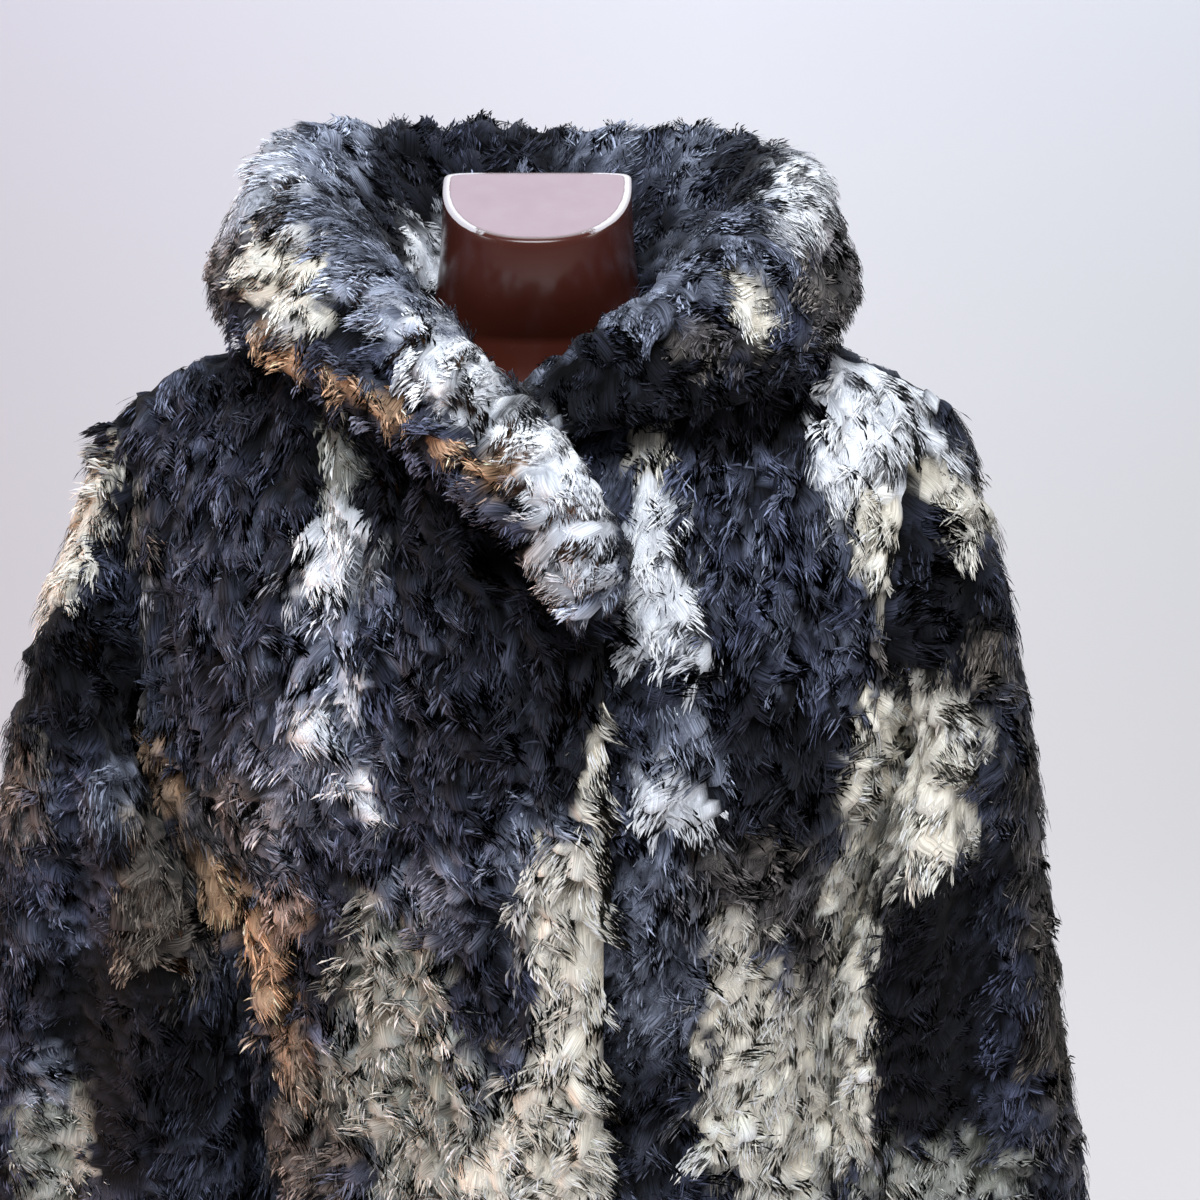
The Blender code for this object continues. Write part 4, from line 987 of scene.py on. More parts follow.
# Three colours (root, middle, tip) for each point: the ground tone, then each patch over it where
# its ellipse, with an edge that waves bend, covers the point. Frost whitens whole tufts. Where the
# camera doesn't look, pale patches lie on the crests of slow waves instead.
def furTones(points, normal, found, ground, frost):
    first, second, secondShare, frostedShare = ground
    tones = np.broadcast_to(np.array(furColours[first]), (len(points), 3, 3)).copy()
    frosting = np.clip(withWaves(0.5, points, toneStyle["frosting"]), 0, 1)
    turned = smoothStep(*toneStyle["turned"], facing(points, normal))
    crest = waves(points, *toneStyle["crests"])
    layers = [
        ("frost", frost * frostedShare),
        (second, secondShare * frosting),
        ("frost", turned * smoothStep(*toneStyle["frostCrest"], crest)),
        ("cream", turned * smoothStep(*toneStyle["creamCrest"], crest)),
    ]
    across, down, deep = seenAt(points)
    edge = withWaves(0, points, toneStyle["edge"])
    for p in found:
        under = down - p["pixelsDown"]
        aside = (across - p["pixelsAcross"] - p["lean"] * under) / p["halfWide"]
        behind = (deep - p["deep"]) / toneStyle["deep"]
        away = np.sqrt(aside**2 + (under / p["halfHigh"]) ** 2 + behind**2) + edge
        layers.append((p["tone"], p["strength"] * (1 - turned) * smoothStep(*toneStyle["soft"], away)))
    for tone, share in layers:
        tones += (np.array(furColours[tone]) - tones) * share[:, None, None]
    return tones


# Places on a grid: its cells are drawn by their area times a weight, and each place lies at random
# inside its cell. Returns the points and the cells' rows and columns.
def scatter(outer, count, weights, rng, closed=False):
    after = (lambda g: np.roll(g, -1, 1)) if closed else (lambda g: g[:, 1:])
    here = (lambda g: g) if closed else (lambda g: g[:, :-1])
    corner = here(outer)[:-1]
    area = np.linalg.norm(np.cross(after(outer)[:-1] - corner, here(outer)[1:] - corner), axis=-1)
    share = np.cumsum((area * weights[:-1, : area.shape[1]]).ravel())
    drawn = (np.arange(count) + rng.random(count)) / count * share[-1]
    r, c = np.divmod(np.minimum(np.searchsorted(share, drawn), len(share) - 1), area.shape[1])
    n = (c + 1) % outer.shape[1]
    f, g = rng.random((2, count, 1))
    low = outer[r, c] * (1 - f) + outer[r + 1, c] * f
    return low * (1 - g) + (outer[r, n] * (1 - f) + outer[r + 1, n] * f) * g, r, c


# The tufts of a piece: a middle, the way its fur lies, its sizes, bend, brightness and share of frost.
def tuftsOf(base, normal, along, shorter, style, way, rng, closed):
    tall, wide = (np.linalg.norm(np.diff(base, axis=k), axis=2).mean() for k in (0, 1))
    count = int(tall * wide * base.shape[0] * base.shape[1] / style["tuft"] ** 2)
    middle, r, c = scatter(base, count, np.ones(base.shape[:2]), rng, closed)
    side = unit(np.cross(normal, along))[r, c]
    swirl = withWaves(0, middle, style["swirlWaves"]) + style["swirlRandom"] * rng.normal(size=count)
    angle = style["swirl"] * swirl
    flow = way * (along[r, c] * np.cos(angle)[:, None] + side * np.sin(angle)[:, None])
    size = shorter[r, c]

    def varied(spread, low, high):
        return np.clip(rng.normal(1, spread, count), low, high)

    return {
        "middle": middle,
        "normal": normal[r, c],
        "flow": flow,
        "side": np.cross(normal[r, c], flow),
        "long": style["long"] * size * varied(0.30, 0.5, 1.7),
        "wide": style["wide"] * varied(0.30, 0.5, 1.7),
        "high": style["high"] * size * varied(0.35, 0.3, 1.8),
        "bend": style["bend"] * rng.normal(0, 1, count),
        "bright": varied(0.30, 0.4, 1.8),
        "frost": rng.random(count) ** 1.6,
        "own": rng.random(count),
        "curl": rng.uniform(0.3, 1.2, count),
    }


# The pile's bed: of the ten nearest tufts, the one that stands highest over a point wins it. Along a
# tuft (0 root, 1 tip) its height rises to 0.8 and drops off at the tip, and across it falls off as a
# circle. Returns the tuft, the two places in it and the height, for each point of the grid.
def furBed(base, tufts):
    points = base.reshape(-1, 3)
    own = (tufts["middle"] ** 2).sum(1)
    found, nearest = [], 10
    for block in np.array_split(points, max(1, len(points) // 2000)):
        near = np.argpartition(own - 2 * block @ tufts["middle"].T, nearest, axis=1)[:, :nearest]
        t = {key: value[near] for key, value in tufts.items()}
        apart = block[:, None] - t["middle"]
        a = (apart * t["flow"]).sum(-1) / t["long"] + 0.3
        b = (apart * t["side"]).sum(-1) / t["wide"] - t["bend"] * np.clip(a, 0, 1) ** 2
        over = smoothStep(-0.3, 0.8, a) * (1 - smoothStep(0.85, 1.08, a)) * np.sqrt(np.clip(1 - b**2, 0, 1))
        high = over * t["high"] * (abs((apart * t["normal"]).sum(-1)) < 0.012)
        best = np.arange(len(block)), np.argmax(high + 1e-6 * over, axis=1)
        found.append(np.stack([near[best], a[best], b[best], high[best]], -1))
    found = np.concatenate(found)
    shape = base.shape[:2]
    return found[:, 0].astype(int).reshape(shape), *(found[:, k].reshape(shape) for k in (1, 2, 3))


# Colour at a share of the way from root to tip.
def tintAt(tones, at):
    lower, upper = np.clip(at * 2.0, 0, 1)[..., None], smoothStep(0.35, 0.95, at)[..., None]
    low, mid, high = (tones[..., q, :] for q in range(3))
    tint = low * (1 - lower) + mid * lower
    return tint * (1 - upper) + high * upper


# Where a point's colour is read: mostly its tuft's, and on towards the tuft's tip.
def tuftPlace(points, own, style):
    return points * 0.4 + own["middle"] * 0.6 + own["flow"] * style["long"] * 0.4


# How pale the fur is, from 0 to 1, by its middle tone.
def paleShare(tones):
    return smoothStep(*toneStyle["pale"], tones[..., 1, :].mean(-1))


# Brightness of tufts, evened out where the fur is pale.
def tuftBright(tones, bright):
    evened = 0.6 + 0.4 * bright
    return (bright + (evened - bright) * paleShare(tones))[..., None]


hairCover = {
    "seen": (0.42, 0.58),  # the least, and what full view adds
    "turning": (-0.25, 0.10),
    "low": (0.35, 0.65),  # the least towards the hem, and what is added above it
    "lowBetween": (0.52, 0.66),  # heights
    "ridge": 1.6,  # on the shoulders' ridge
    "ridgeHalf": 0.03,
    "ridgeAbove": 1.15,
}


# How thick the hair stands: more where the camera looks and on the shoulders' ridge, less low down.
def whereSeen(points, normal):
    x, y, z = (points[..., k] for k in range(3))
    least, more = hairCover["seen"]
    seen = least + more * smoothStep(*hairCover["turning"], facing(points, normal))
    ridge = (abs(y - coat["poleToRidge"]) < hairCover["ridgeHalf"]) & (abs(x) > coat["neckHalf"])
    least, more = hairCover["low"]
    low = least + more * smoothStep(*hairCover["lowBetween"], z)
    return np.where(ridge & (z > hairCover["ridgeAbove"]), hairCover["ridge"], seen) * low


# Hairs that stand on the bed. A hair's line is
#   root + flow * length * t + normal * lift * t * (1.5 - t) + side * curl * (1 - cos(turn * t)),
# where flow follows the tuft's own bend. Its points lie left and right of the line in turn, so each
# further point adds one triangle. Returns points, corners, normals, colours and strand places.
def hairsOf(bed, base, normal, shorter, tufts, won, found, ground, count, style, rng, closed):
    near, a, b = won[:3]
    root, r, c = scatter(bed, count, whereSeen(base, normal), rng, closed)
    own = {key: value[near[r, c]] for key, value in tufts.items()}
    n = normal[r, c]
    start = np.clip(a[r, c], 0, 1)
    aside = 2 * own["bend"] * start * own["wide"] / own["long"] - 0.25 * b[r, c] * start
    flow = own["flow"] + own["side"] * aside[:, None]
    flow = unit(flow - n * (flow * n).sum(1, keepdims=True) + style["stray"] * rng.normal(size=(count, 3)))
    side = np.cross(n, flow)
    steps = style["steps"]
    t = np.linspace(0, 1, steps + 2)[None, :, None]
    size = shorter[r, c]
    reach = (style["hair"] * size * rng.uniform(0.55, 1.35, count))[:, None, None]
    lift = (style["lift"] * size * rng.uniform(0.3, 1.2, count) * (0.6 + 0.7 * start))[:, None, None]
    curl = style["curl"] * (np.sign(own["bend"]) * own["curl"] + rng.normal(0, 0.12, count))[:, None, None]
    up, f, s = (v[:, None, :] for v in (n, flow, side))
    line = (root - n * style["rooted"])[:, None, :] + f * reach * t + up * lift * t * (1.5 - t)
    line = line + s * curl * (1 - np.cos(style["turn"] * t))
    tangent = unit(np.gradient(line, axis=1))
    twist = rng.normal(0, style["twist"], (count, 1, 1))
    across = unit(np.cross(tangent, up * np.cos(twist) + s * np.sin(twist)) + 1e-9)
    half = style["width"] * rng.uniform(0.6, 1.4, (count, 1, 1)) * (1 - style["taper"] * t**2)
    hand = np.where(np.arange(steps + 2) % 2 == 0, -1.0, 1.0)[None, :, None]
    points = line + across * half * hand
    normals = unit(up + 0.35 * np.cross(across, tangent) + 0.25 * across * hand)
    q = np.arange(steps)
    turn = np.stack([q, np.where(q % 2 == 0, q + 1, q + 2), np.where(q % 2 == 0, q + 2, q + 1)], -1)
    corners = ((np.arange(count) * (steps + 2))[:, None, None] + turn[None]).reshape(-1, 3)

    tones = furTones(tuftPlace(base[r, c], own, style), n, found, ground, own["frost"])
    at = 0.35 + 0.35 * start[:, None] + 0.2 * t[..., 0] + rng.normal(0, 0.25, (count, 1))
    at = np.clip(at, 0, 1)
    at = at + (0.8 - at) * 0.6 * paleShare(tones)[:, None]
    bright = own["bright"] * np.exp(rng.normal(0.05, 0.4, count))
    tint = tintAt(tones[:, None], at) * tuftBright(tones, bright)[:, None]
    strand = np.stack(np.broadcast_arrays(hand[..., 0], t[..., 0], rng.random((count, 1)) + 2), -1)
    return [part.reshape(-1, 3) for part in (points, corners, normals, tint, strand)]


# How far a grid's points are from its free edges, from 0 on them to 1, over a number of steps.
def edgeFade(shape, free, steps):
    far = np.full(shape, 1.0)
    row, column = np.indices(shape)
    for edge, place in zip(free, (row, shape[0] - 1 - row, column, shape[1] - 1 - column)):
        if edge:
            far = np.minimum(far, np.clip(place / steps, 0, 1))
    return far


underArm = {"below": (1.06, 1.00), "from": (0.14, 0.17), "to": (0.27, 0.24), "sideways": (0.45, 0.85)}


# From 0 to 1 where a sleeve and the body face each other, under the armhole: the pile is fuller there.
def besideArm(outer, normal):
    aside = abs(outer[..., 0])
    inside = smoothStep(*underArm["below"], outer[..., 2]) * smoothStep(*underArm["from"], aside)
    sideways = smoothStep(*underArm["sideways"], abs(normal[..., 0]))
    return inside * sideways * smoothStep(*underArm["to"], aside)


# A piece of the coat: a closed shell whose outer face is the bed of tufts, curving in to the inner face
# along free edges, and the hairs on it. Both carry their colour, the bed's darkened by painted shade low
# between tufts, and where a point lies in its tuft or on its hair, for the streaks.
def furPiece(name, wallFaces, hairs, ground, style, free, way, closed):
    rng = np.random.default_rng(style["seed"] + sum(map(ord, name)))
    outer, inner = wallFaces
    normal, along = wallNormals(outer, inner, closed)
    shorter = np.clip(np.linalg.norm(outer - inner, axis=-1) / coat["pile"], 0.45, 1.1)
    far = edgeFade(outer.shape[:2], free, style["edgeSteps"])
    sunk = style["sunk"] + style["edgeSunk"] * (1 - far) ** 2 - style["fuller"] * besideArm(outer, normal)
    base = outer + (inner - outer) * sunk[..., None]
    tufts = tuftsOf(base, normal, along, shorter, style, way, rng, closed)
    won = furBed(base, tufts)
    near, a, b, high = won
    found = patchesOf(name, outer, normal)
    bed = base + normal * (high * far)[..., None]
    cloth = shell(name + "Cloth", bed, inner, closed)

    points = base.reshape(-1, 3)
    picked = {key: value[near.ravel()] for key, value in tufts.items()}
    place = tuftPlace(points, picked, style)
    tones = furTones(place, normal.reshape(-1, 3), found, ground, picked["frost"])
    at = np.clip(0.25 + 0.6 * a.ravel() + 0.25 * (picked["own"] - 0.5), 0, 1)
    # Painted shade: the bed is darker where it lies low between tufts, and barely so where the fur is pale.
    valleyShade = 0.12 + 0.65 * np.sqrt(np.clip(high.ravel() / picked["high"], 0, 1))
    valleyShade = valleyShade + (1 - valleyShade) * 0.92 * paleShare(tones)
    tint = tintAt(tones, at) * tuftBright(tones, picked["bright"]) * valleyShade[:, None]
    strand = np.stack([b.ravel() * picked["wide"] * 1000, a.ravel() * 2, picked["own"]], -1)
    inside = np.zeros((len(cloth.data.vertices) - len(points), 3))
    paint(cloth, np.concatenate([np.clip(tint, 0, toneStyle["brightest"]), inside + toneStyle["backing"]]))
    paint(cloth, np.concatenate([strand, inside]), "strandPlace")

    made = hairsOf(bed, base, normal, shorter, tufts, won, found, ground, hairs, style, rng, closed)
    pile = meshFrom(name + "Fur", made[0], made[1])
    pile.data.normals_split_custom_set_from_vertices(made[2])
    paint(pile, np.clip(made[3], 0, toneStyle["brightest"]))
    paint(pile, made[4], "strandPlace")
    return cloth, pile


# A material, its node tree and its shader.
def newMaterial(name):
    made = bpy.data.materials.new(name)
    made.use_nodes = True
    tree = made.node_tree
    return made, tree, tree.nodes["Principled BSDF"]


# A node with its settings, and with values or links on its inputs.
def addNode(tree, kind, values=(), **settings):
    node = tree.nodes.new(kind)
    for key, value in settings.items():
        setattr(node, key, value)
    for socket, value in dict(values).items():
        if isinstance(value, bpy.types.NodeSocket):
            tree.links.new(value, node.inputs[socket])
        else:
            node.inputs[socket].default_value = value
    return node


# A colour attribute's output.
def painted(tree, layer):
    return addNode(tree, "ShaderNodeVertexColor", layer_name=layer).outputs["Color"]


# Noise at a scale in the piece's own coordinates, perhaps stretched.
def noiseOn(tree, scale, detail, roughness=0.5, stretch=None):
    place = addNode(tree, "ShaderNodeTexCoord").outputs["Object"]
    if stretch:
        place = addNode(tree, "ShaderNodeMapping", {"Vector": place, "Scale": stretch}).outputs["Vector"]
    values = {"Vector": place, "Scale": scale, "Detail": detail, "Roughness": roughness}
    return addNode(tree, "ShaderNodeTexNoise", values).outputs["Fac"]


# A value between fromMin and fromMax moved to between toMin and toMax.
def ranged(tree, value, fromMin, fromMax, toMin=0.0, toMax=1.0):
    values = {"Value": value, "From Min": fromMin, "From Max": fromMax, "To Min": toMin, "To Max": toMax}
    return addNode(tree, "ShaderNodeMapRange", values).outputs["Result"]


# value * factor + more
def timesPlus(tree, value, factor, more):
    values = {0: value, 1: factor, 2: more}
    return addNode(tree, "ShaderNodeMath", values, operation="MULTIPLY_ADD").outputs["Value"]


# A value's or a colour's three numbers times three others.
def timesEach(tree, one, other):
    return addNode(tree, "ShaderNodeVectorMath", {0: one, 1: other}, operation="MULTIPLY").outputs["Vector"]


# One colour turned into another by a share.
def blended(tree, share, one, other, **settings):
    values = {"Factor": share, 6: one, 7: other}
    return addNode(tree, "ShaderNodeMix", values, data_type="RGBA", **settings).outputs[2]


def addBump(tree, shader, height, strength, distance):
    values = {"Height": height, "Strength": strength, "Distance": distance}
    bump = addNode(tree, "ShaderNodeBump", values)
    tree.links.new(bump.outputs["Normal"], shader.inputs["Normal"])


furShader = {
    "roughness": 0.9,
    "sheen": 0.05,
    "stretch": (1.2, 0.8, 60.0),  # streaks across a tuft, along it, and from tuft to tuft
    "streaks": (0.34, 0.66),
    "deepest": (0.60, 0.06),  # of a dark streak: for each share of paleness, and for dark fur
    "highest": (-1.15, 2.5),  # of a light one
    "paleFrom": 0.4,
}


# Fur: its painted colours, streaked by noise along the tufts and hairs, less so where it is pale.
def furMaterial(name):
    made, tree, shader = newMaterial(name)
    tone = painted(tree, "furTone")
    place = timesEach(tree, painted(tree, "strandPlace"), furShader["stretch"])
    noise = addNode(tree, "ShaderNodeTexNoise", {"Vector": place, "Scale": 1.0, "Detail": 4.0})
    streaks = noise.outputs["Fac"]
    bright = addNode(tree, "ShaderNodeRGBToBW", {"Color": tone}).outputs["Val"]
    pale = ranged(tree, bright, 0.0, furShader["paleFrom"])
    ends = [timesPlus(tree, pale, *furShader[end]) for end in ("deepest", "highest")]
    level = ranged(tree, streaks, *furShader["streaks"], *ends)
    tree.links.new(timesEach(tree, tone, level), shader.inputs["Base Color"])
    addBump(tree, shader, streaks, 0.5, 0.0008)
    shader.inputs["Roughness"].default_value = furShader["roughness"]
    shader.inputs["Specular IOR Level"].default_value = 0.1
    shader.inputs["Sheen Weight"].default_value = furShader["sheen"]
    shader.inputs["Sheen Roughness"].default_value = 0.5
    return made


plastic = {
    "dark": (0.045, 0.010, 0.006, 1),
    "light": (0.085, 0.020, 0.012, 1),
    # The cap's pale pink is a painted reflection of the light from above on the satin top.
    "cap": (0.36, 0.26, 0.29, 1),
    "chip": (0.52, 0.48, 0.49, 1),
    "chipped": (1.05, 1.2),  # where flecks and the painted rim add up to this
    "gloss": 0.17,
    "worn": 0.14,  # so much duller where it is scuffed
    "dullCap": 0.35,
}


# Moulded plastic: a deep red-brown with slow clouds and scuffs in its gloss. The top is paler, a painted
# reflection of the light from above, and dull, and its rim is chipped where noise and the painted rim meet.
def plasticMaterial(name):
    made, tree, shader = newMaterial(name)
    body = blended(tree, noiseOn(tree, 9.0, 4.0), plastic["dark"], plastic["light"])
    parts = addNode(tree, "ShaderNodeSeparateColor", {"Color": painted(tree, "capAndRim")})
    withCapReflection = blended(tree, parts.outputs["Red"], body, plastic["cap"])
    flecks = {0: noiseOn(tree, 170.0, 5.0, 0.7), 1: parts.outputs["Green"]}
    both = addNode(tree, "ShaderNodeMath", flecks, operation="ADD").outputs["Value"]
    colour = blended(tree, ranged(tree, both, *plastic["chipped"]), withCapReflection, plastic["chip"])
    gloss = plastic["gloss"]
    worn = ranged(tree, noiseOn(tree, 60.0, 6.0, 0.65), 0.35, 0.75, gloss, gloss + plastic["worn"])
    dull = timesPlus(tree, parts.outputs["Red"], plastic["dullCap"], worn)
    tree.links.new(colour, shader.inputs["Base Color"])
    tree.links.new(dull, shader.inputs["Roughness"])
    return made


# Brushed metal: its roughness varies along fine lines that run up the pole.
def metalMaterial(name, colour, roughness):
    made, tree, shader = newMaterial(name)
    grain = noiseOn(tree, 1.0, 3.0, stretch=(260, 260, 6))
    tree.links.new(ranged(tree, grain, 0.3, 0.7, roughness, roughness + 0.12), shader.inputs["Roughness"])
    shader.inputs["Base Color"].default_value = (*colour, 1)
    shader.inputs["Metallic"].default_value = 1.0
    return made


# Paint with soft clouds of its colour and the fine bumps of a sprayed coat.
def paintMaterial(name, colour, roughness):
    made, tree, shader = newMaterial(name)
    darker, lighter = ((*[min(1, k * c) for c in colour], 1) for k in (0.85, 1.12))
    tree.links.new(blended(tree, noiseOn(tree, 40.0, 5.0), darker, lighter), shader.inputs["Base Color"])
    addBump(tree, shader, noiseOn(tree, 600.0, 2.0), 0.12, 0.0004)
    shader.inputs["Roughness"].default_value = roughness
    return made


# Gives a piece its material and its body.
def dress(piece, material):
    piece.data.materials.append(material)
    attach(piece, "root")
    return piece


furCoat = furMaterial("coatFur")

frontRight, frontLeft, back = frontWall(-1), frontWall(1), backWall()
walls = {
    "back": back,
    "frontRight": frontRight,
    "frontLeft": frontLeft,
    "sleeveRight": sleeveWall(-1, frontRight, back),
    "sleeveLeft": sleeveWall(1, frontLeft, back),
}
walls["collarUpper"], walls["collarUnder"] = collarWalls(frontRight, frontLeft, back)

# Of each piece: its solid, the record's slot, rows and columns of the fine grid, the trim of its free
# edges (rows from, rows to, columns from, columns to), which edges are free, hairs, which way the fur
# lies along the rows, the ground (two tones, the second's share, the frosted tufts' share), and the
# flat cut: width, length, area.
pieceColumns = ("piece", "node", "slot", "grid", "trim", "free", "hairs", "way", "ground", "flat", "area")
bodyGround, sleeveGround = ("blue", "black", 0.6, 0.4), ("blue", "black", 0.95, 0.2)
piecesOfCoat = [
    ("back", "back", "charcoal_fur", (113, 85), (0, 1, 0, 1), (1, 0, 0, 0),
     20000, -1, bodyGround, (0.60, 0.83), 0.44),
    ("frontRight", "front_right", "charcoal_fur", (185, 81), (0, 1, 0.02, 1), (1, 0, 1, 0),
     58000, -1, bodyGround, (0.37, 0.86), 0.27),
    ("frontLeft", "front_left", "charcoal_fur", (185, 77), (0, 1, 0.02, 1), (1, 0, 1, 0),
     52000, -1, bodyGround, (0.35, 0.86), 0.25),
    ("sleeveRight", "sleeve_right", "charcoal_fur", (137, 84), (0, 1, 0, 1), (0, 1, 0, 0),
     37000, 1, sleeveGround, (0.36, 0.62), 0.20),
    ("sleeveLeft", "sleeve_left", "charcoal_fur", (137, 84), (0, 1, 0, 1), (0, 1, 0, 0),
     37000, 1, sleeveGround, (0.36, 0.62), 0.20),
    ("collarUpper", "collar_upper", "collar_fur", (53, 209), (0, 0.93, 0, 1), (0, 1, 1, 1),
     49000, 1, ("blue", "black", 0.7, 0.5), (0.95, 0.19), 0.15),
    ("collarUnder", "collar_under", "under_collar_fur", (33, 121), (0, 0.93, 0, 1), (0, 1, 1, 1),
     7000, 1, ("black", "blue", 0.5, 0.2), (0.95, 0.18), 0.14),
]
closer = {
    "collarUpper": {"hair": 0.0115},
    "collarUnder": {"long": 0.018, "high": 0.004, "hair": 0.009, "lift": 0.003},
}

for row in piecesOfCoat:
    p = dict(zip(pieceColumns, row))
    name = p["piece"]
    closed = name.startswith("sleeve")
    faces = finerWall(*walls[name], *p["grid"], p["trim"], closed)
    style = {**furStyle, **closer.get(name, {})}
    cloth, pile = furPiece(name, faces, p["hairs"], p["ground"], style, p["free"], p["way"], closed)
    for made in (cloth, pile):
        dress(made, furCoat)
    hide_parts(p["node"])
    print("made", name, len(cloth.data.polygons), len(pile.data.polygons))


# The dress form's outlines on finer rings: each ring keeps the solid's sizes at its height. Above the
# shoulders the rings run up the neck to the tilted cap, whose edge is rounded.
def addForm():
    seat, levels = formLevels()
    rootTo, (frontFrom, frontTo) = form["rootFlareTo"], form["rootFrontFrom"]
    rings = []
    for height, *sizes in levels:
        half = form["neckRootHalf"] + form["rootFlare"] * smoothStep(seat, rootTo, height)
        reach = form["neckRootFront"] * smoothStep(frontFrom, frontTo, height)
        x, y = formOutline(*sizes, neck=(half, reach))
        rings.append(np.stack([x, y, np.full(len(x), height)], -1))
    rounded = [(0.985, 0.0003), (0.994, 0.0010), (0.999, 0.0022), (1.0, 0.0036)]  # the cap's edge
    for share, inset in [(share, 0) for share in np.linspace(0.04, 0.975, form["neckRings"])] + rounded:
        bend = (1 - share) ** 2
        halfWidth = form["neckHalfWidth"] + (form["neckRootHalf"] - form["neckHalfWidth"]) * bend - inset
        front = form["neckFront"] + (form["neckRootFront"] - form["neckFront"]) * bend - inset
        x, y = formOutline(halfWidth, front, form["neckBack"] - inset, *form["capSquareness"])
        tilted = form["capTilt"] * (y + form["capPivot"]) * smoothStep(0, 1, share)
        z = seat + (form["neckCap"] - seat) * share + tilted
        rings.append(np.stack([x, y, z], -1))
    middle = rings[-1].mean(0)
    capFrom = len(rings)
    rings += [middle + (rings[-1] - middle) * k for k in (0.965, 0.7, 0.35, 0.02)]
    low = rings[0].mean(0)
    rings = [low + (rings[0] - low) * 0.02, low + (rings[0] - low) * 0.6] + rings
    grid = np.array(rings)[:, ::-1] + np.array([0, coat["poleToRidge"], 0])
    quads = gridQuads(len(grid), grid.shape[1], closed=True)
    ends = [np.arange(grid.shape[1])[::-1], np.arange(grid.shape[1]) + (len(grid) - 1) * grid.shape[1]]
    points = np.concatenate([grid.reshape(-1, 3), grid[0].mean(0)[None], grid[-1].mean(0)[None]])
    fans = []
    for edge, tip in ((ends[0], len(points) - 2), (ends[1], len(points) - 1)):
        fans.append(np.stack([edge, np.roll(edge, -1), np.full(len(edge), tip)], -1))
    made = meshFrom("dressForm", points, quads, np.concatenate(fans))
    row = np.append(np.repeat(np.arange(len(grid)), grid.shape[1]), [0, len(grid)]) - 2
    cap = (row >= capFrom) * 1.0
    aside = smoothStep(0.3, 0.9, abs(points[:, 0]) / form["neckHalfWidth"])
    rim = ((row >= capFrom - len(rounded)) & (row < capFrom)) * (0.35 + 0.65 * aside)
    # The cap's share, in red, carries the painted reflection and the dullness of the top; the rim's, in
    # green, the chips.
    paint(made, np.stack([cap, rim, 0 * cap], -1), "capAndRim")
    return made


formPlastic = plasticMaterial("redBrownPlastic")
made = dress(addForm(), formPlastic)
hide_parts("dress_form")
print("made form")


# A profile of (radius, height) turned about the pole's axis: x = r cos a, y = r sin a. A ring's profile
# runs back to its own start; any other one is closed by a fan at each end.
def turnedPiece(name, profile, around=96, ring=False):
    profile = np.array(profile)
    a = np.linspace(0, 2 * math.pi, around, endpoint=False)
    grid = np.stack([profile[:, :1] * np.cos(a), profile[:, :1] * np.sin(a), profile[:, 1:] + 0 * a], -1)
    points, rows = grid.reshape(-1, 3), len(profile)
    if ring:
        quads = gridQuads(rows + 1, around, closed=True) % (rows * around)
        return meshFrom(name, points, quads)
    first, last = np.arange(around), np.arange(around) + (rows - 1) * around
    fans = [np.stack([np.roll(first, -1), first, np.full(around, rows * around)], -1)]
    fans.append(np.stack([last, np.roll(last, -1), np.full(around, rows * around + 1)], -1))
    points = np.concatenate([points, [(0, 0, profile[0, 1]), (0, 0, profile[-1, 1])]])
    return meshFrom(name, points, gridQuads(rows, around, closed=True), np.concatenate(fans))


stand = {
    "baseRadius": 0.175,
    "baseHeight": 0.012,
    "poleRadius": 0.0125,
    "socketRadius": 0.045,
    "socketWall": 0.006,
    "socketHeight": 0.030,
    "gap": 0.0003,
    "edge": 0.001,  # the bevel of an edge
}


def addStand():
    s, edge = stand, stand["edge"]
    under = form["formBottom"] - s["gap"]
    r, h = s["baseRadius"], s["baseHeight"]
    disc = [(r / 2, 0), (r - edge, 0), (r, edge)]
    disc += [(r, h - 0.004), (r - 0.0012, h - 0.0012), (r - 0.004, h), (r / 2, h)]
    base = turnedPiece("standBase", disc)
    q = s["poleRadius"]
    low = h + s["gap"]
    line = [(q / 2, low), (q, low), (q, under - edge), (q - edge, under), (q / 2, under)]
    pole = turnedPiece("standPole", line)
    bore, wide, foot = q + s["gap"], s["socketRadius"], under - s["socketHeight"]
    w = bore + s["socketWall"]
    ring = [(bore, under), (bore, foot), (w - edge, foot), (w, under - 0.029), (w, under - 0.007)]
    ring += [(wide, under - 0.003), (wide, under - 0.0006), (wide - 0.0006, under)]
    return base, pole, turnedPiece("standSocket", ring, ring=True)


base, pole, socket = addStand()
steel = metalMaterial("satinSteel", (0.62, 0.62, 0.64), 0.22)
for made, material, node, slot in (
    (base, paintMaterial("greyPaint", (0.50, 0.50, 0.51), 0.42), "stand_base", "painted_base"),
    (pole, steel, "stand_pole", "bright_steel"),
    (socket, steel, "stand_socket", "bright_steel"),
):
    dress(made, material)
    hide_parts(node)
print("made stand")


# A pale floor that curves up into a backdrop, and soft light.
room = {
    "wide": 9.0,
    "front": -4.0,
    "back": 3.2,
    "bend": 1.2,
    "high": 4.2,
    "glow": 0.34,
    "rise": (0.0, 1.25),  # heights of the shades
    "shades": ((0.68, 0.66, 0.66), (0.80, 0.83, 0.90)),
    "sweep": (-1.2, 1.2),  # from left to right
    "sides": ((0.87, 0.82, 0.83), (0.92, 0.93, 0.92), (0.6, (1, 1, 1))),
    "air": (0.80, 0.86, 1.0, 1),
    "airStrength": 0.20,
}


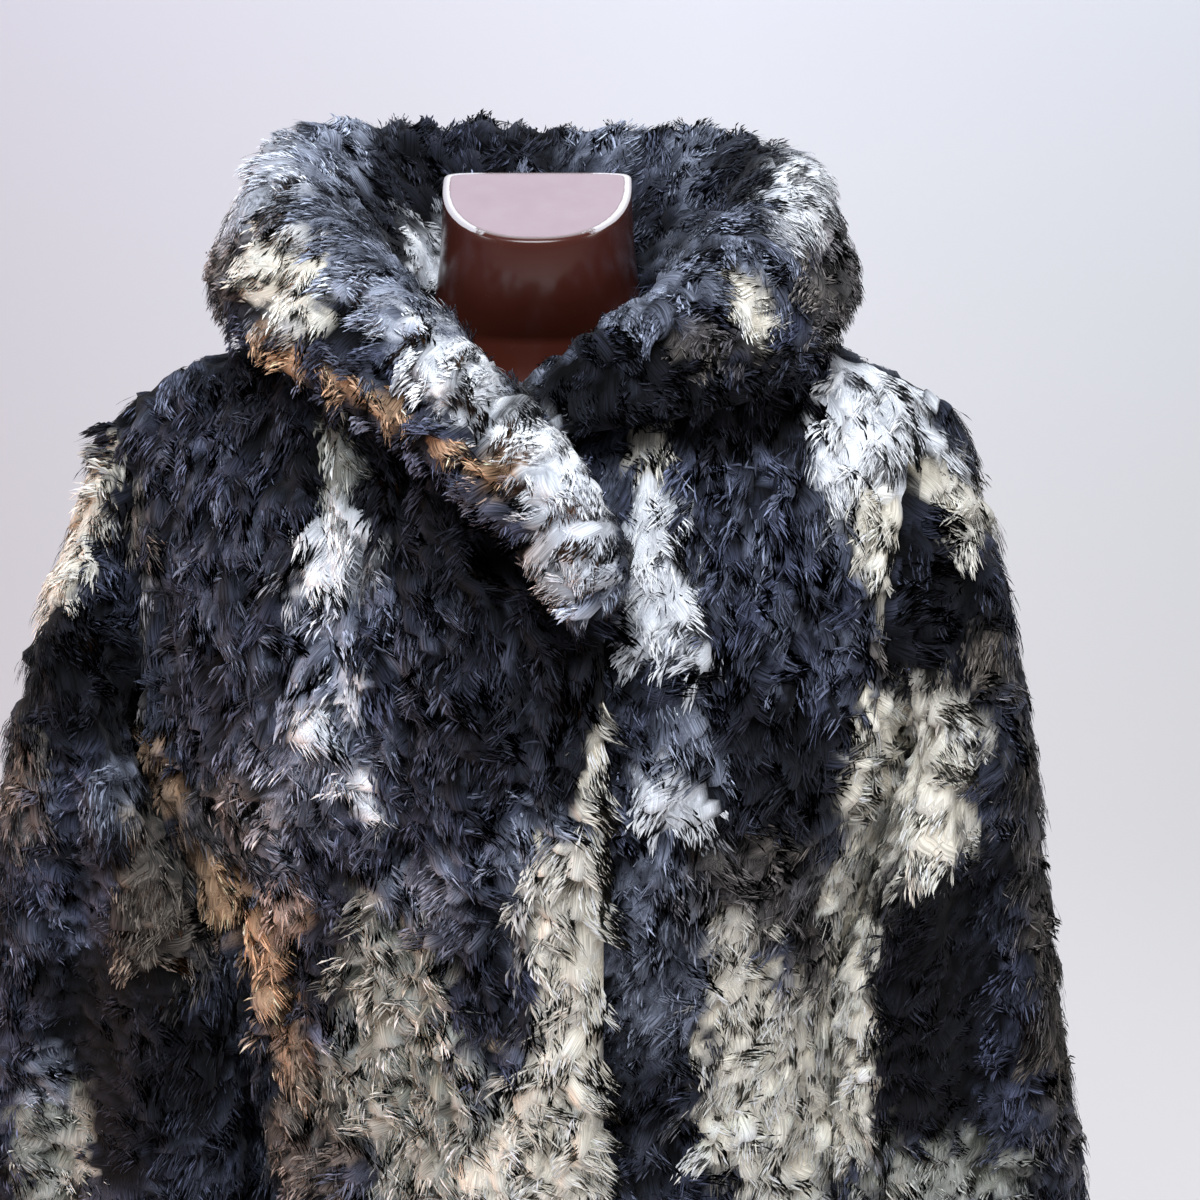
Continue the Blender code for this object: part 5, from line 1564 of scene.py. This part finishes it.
# Floor and backdrop in one sheet: straight, a quarter circle, straight up.
def addRoom():
    turn = np.linspace(0, math.pi / 2, 24)
    back, bend = room["back"], room["bend"]
    y = np.concatenate([[room["front"]], back - bend + bend * np.sin(turn), [back]])
    z = np.concatenate([[0], bend * (1 - np.cos(turn)), [room["high"]]])
    x = np.linspace(-room["wide"] / 2, room["wide"] / 2, 12)
    grid = np.stack(np.broadcast_arrays(x[None, :], y[:, None], z[:, None]), -1)
    return meshFrom("roomFloor", grid.reshape(-1, 3), gridQuads(len(y), len(x)))


# Colours along a value from 0 to 1: the first, the last, and one between at its place.
def rampOf(tree, value, first, last, between=None):
    node = addNode(tree, "ShaderNodeValToRGB", {"Fac": value})
    stops = node.color_ramp.elements
    stops[0].color, stops[1].color = (*first, 1), (*last, 1)
    if between:
        stops.new(between[0]).color = (*between[1], 1)
    return node.outputs["Color"]


# Pale paint that is darker low down and to the sides, and glows a little.
def roomMaterial(name):
    made, tree, shader = newMaterial(name)
    place = addNode(tree, "ShaderNodeTexCoord").outputs["Object"]
    apart = addNode(tree, "ShaderNodeSeparateXYZ", {"Vector": place})
    shades = rampOf(tree, ranged(tree, apart.outputs["Z"], *room["rise"]), *room["shades"])
    sides = rampOf(tree, ranged(tree, apart.outputs["X"], *room["sweep"]), *room["sides"])
    toned = blended(tree, 1.0, shades, sides, blend_type="MULTIPLY")
    for socket in ("Base Color", "Emission Color"):
        tree.links.new(toned, shader.inputs[socket])
    shader.inputs["Emission Strength"].default_value = room["glow"]
    shader.inputs["Roughness"].default_value = 0.9
    return made


floor = addRoom()
floor.data.materials.append(roomMaterial("paleRoom"))

# Name, place, aim, size, watts and colour.
lights = [
    ("window", (-0.1, -1.4, 3.1), (0, 0, 1.1), 1.4, 74, (0.88, 0.93, 1.0)),
    ("left", (-2.4, -1.0, 2.0), (0, 0, 1.0), 1.0, 14, (0.90, 0.94, 1.0)),
    ("right", (2.4, -0.5, 2.0), (0, 0, 1.0), 1.0, 15, (1.0, 0.97, 0.94)),
    ("warm", (-1.5, -0.42, 0.62), (-0.14, -0.03, 0.95), 0.30, 11, (1.0, 0.45, 0.18)),
    ("behind", (0.2, 1.6, 3.0), (0, 0.2, 1.1), 1.6, 20, (0.88, 0.93, 1.0)),
]


def addLights():
    for name, place, aim, size, watts, colour in lights:
        data = bpy.data.lights.new(name, "AREA")
        data.shape = "DISK"
        data.size, data.energy, data.color = size, watts, colour
        made = bpy.data.objects.new(name, data)
        made.location = place
        toward = Vector(aim) - Vector(place)
        made.rotation_euler = toward.to_track_quat("-Z", "Y").to_euler()
        bpy.context.scene.collection.objects.link(made)
    bpy.context.scene.view_settings.view_transform = "Standard"
    world = bpy.data.worlds.new("softRoom")
    bpy.context.scene.world = world
    world.use_nodes = True
    air = world.node_tree.nodes["Background"]
    air.inputs["Color"].default_value = room["air"]
    air.inputs["Strength"].default_value = room["airStrength"]


addLights()
print("made room and lights")
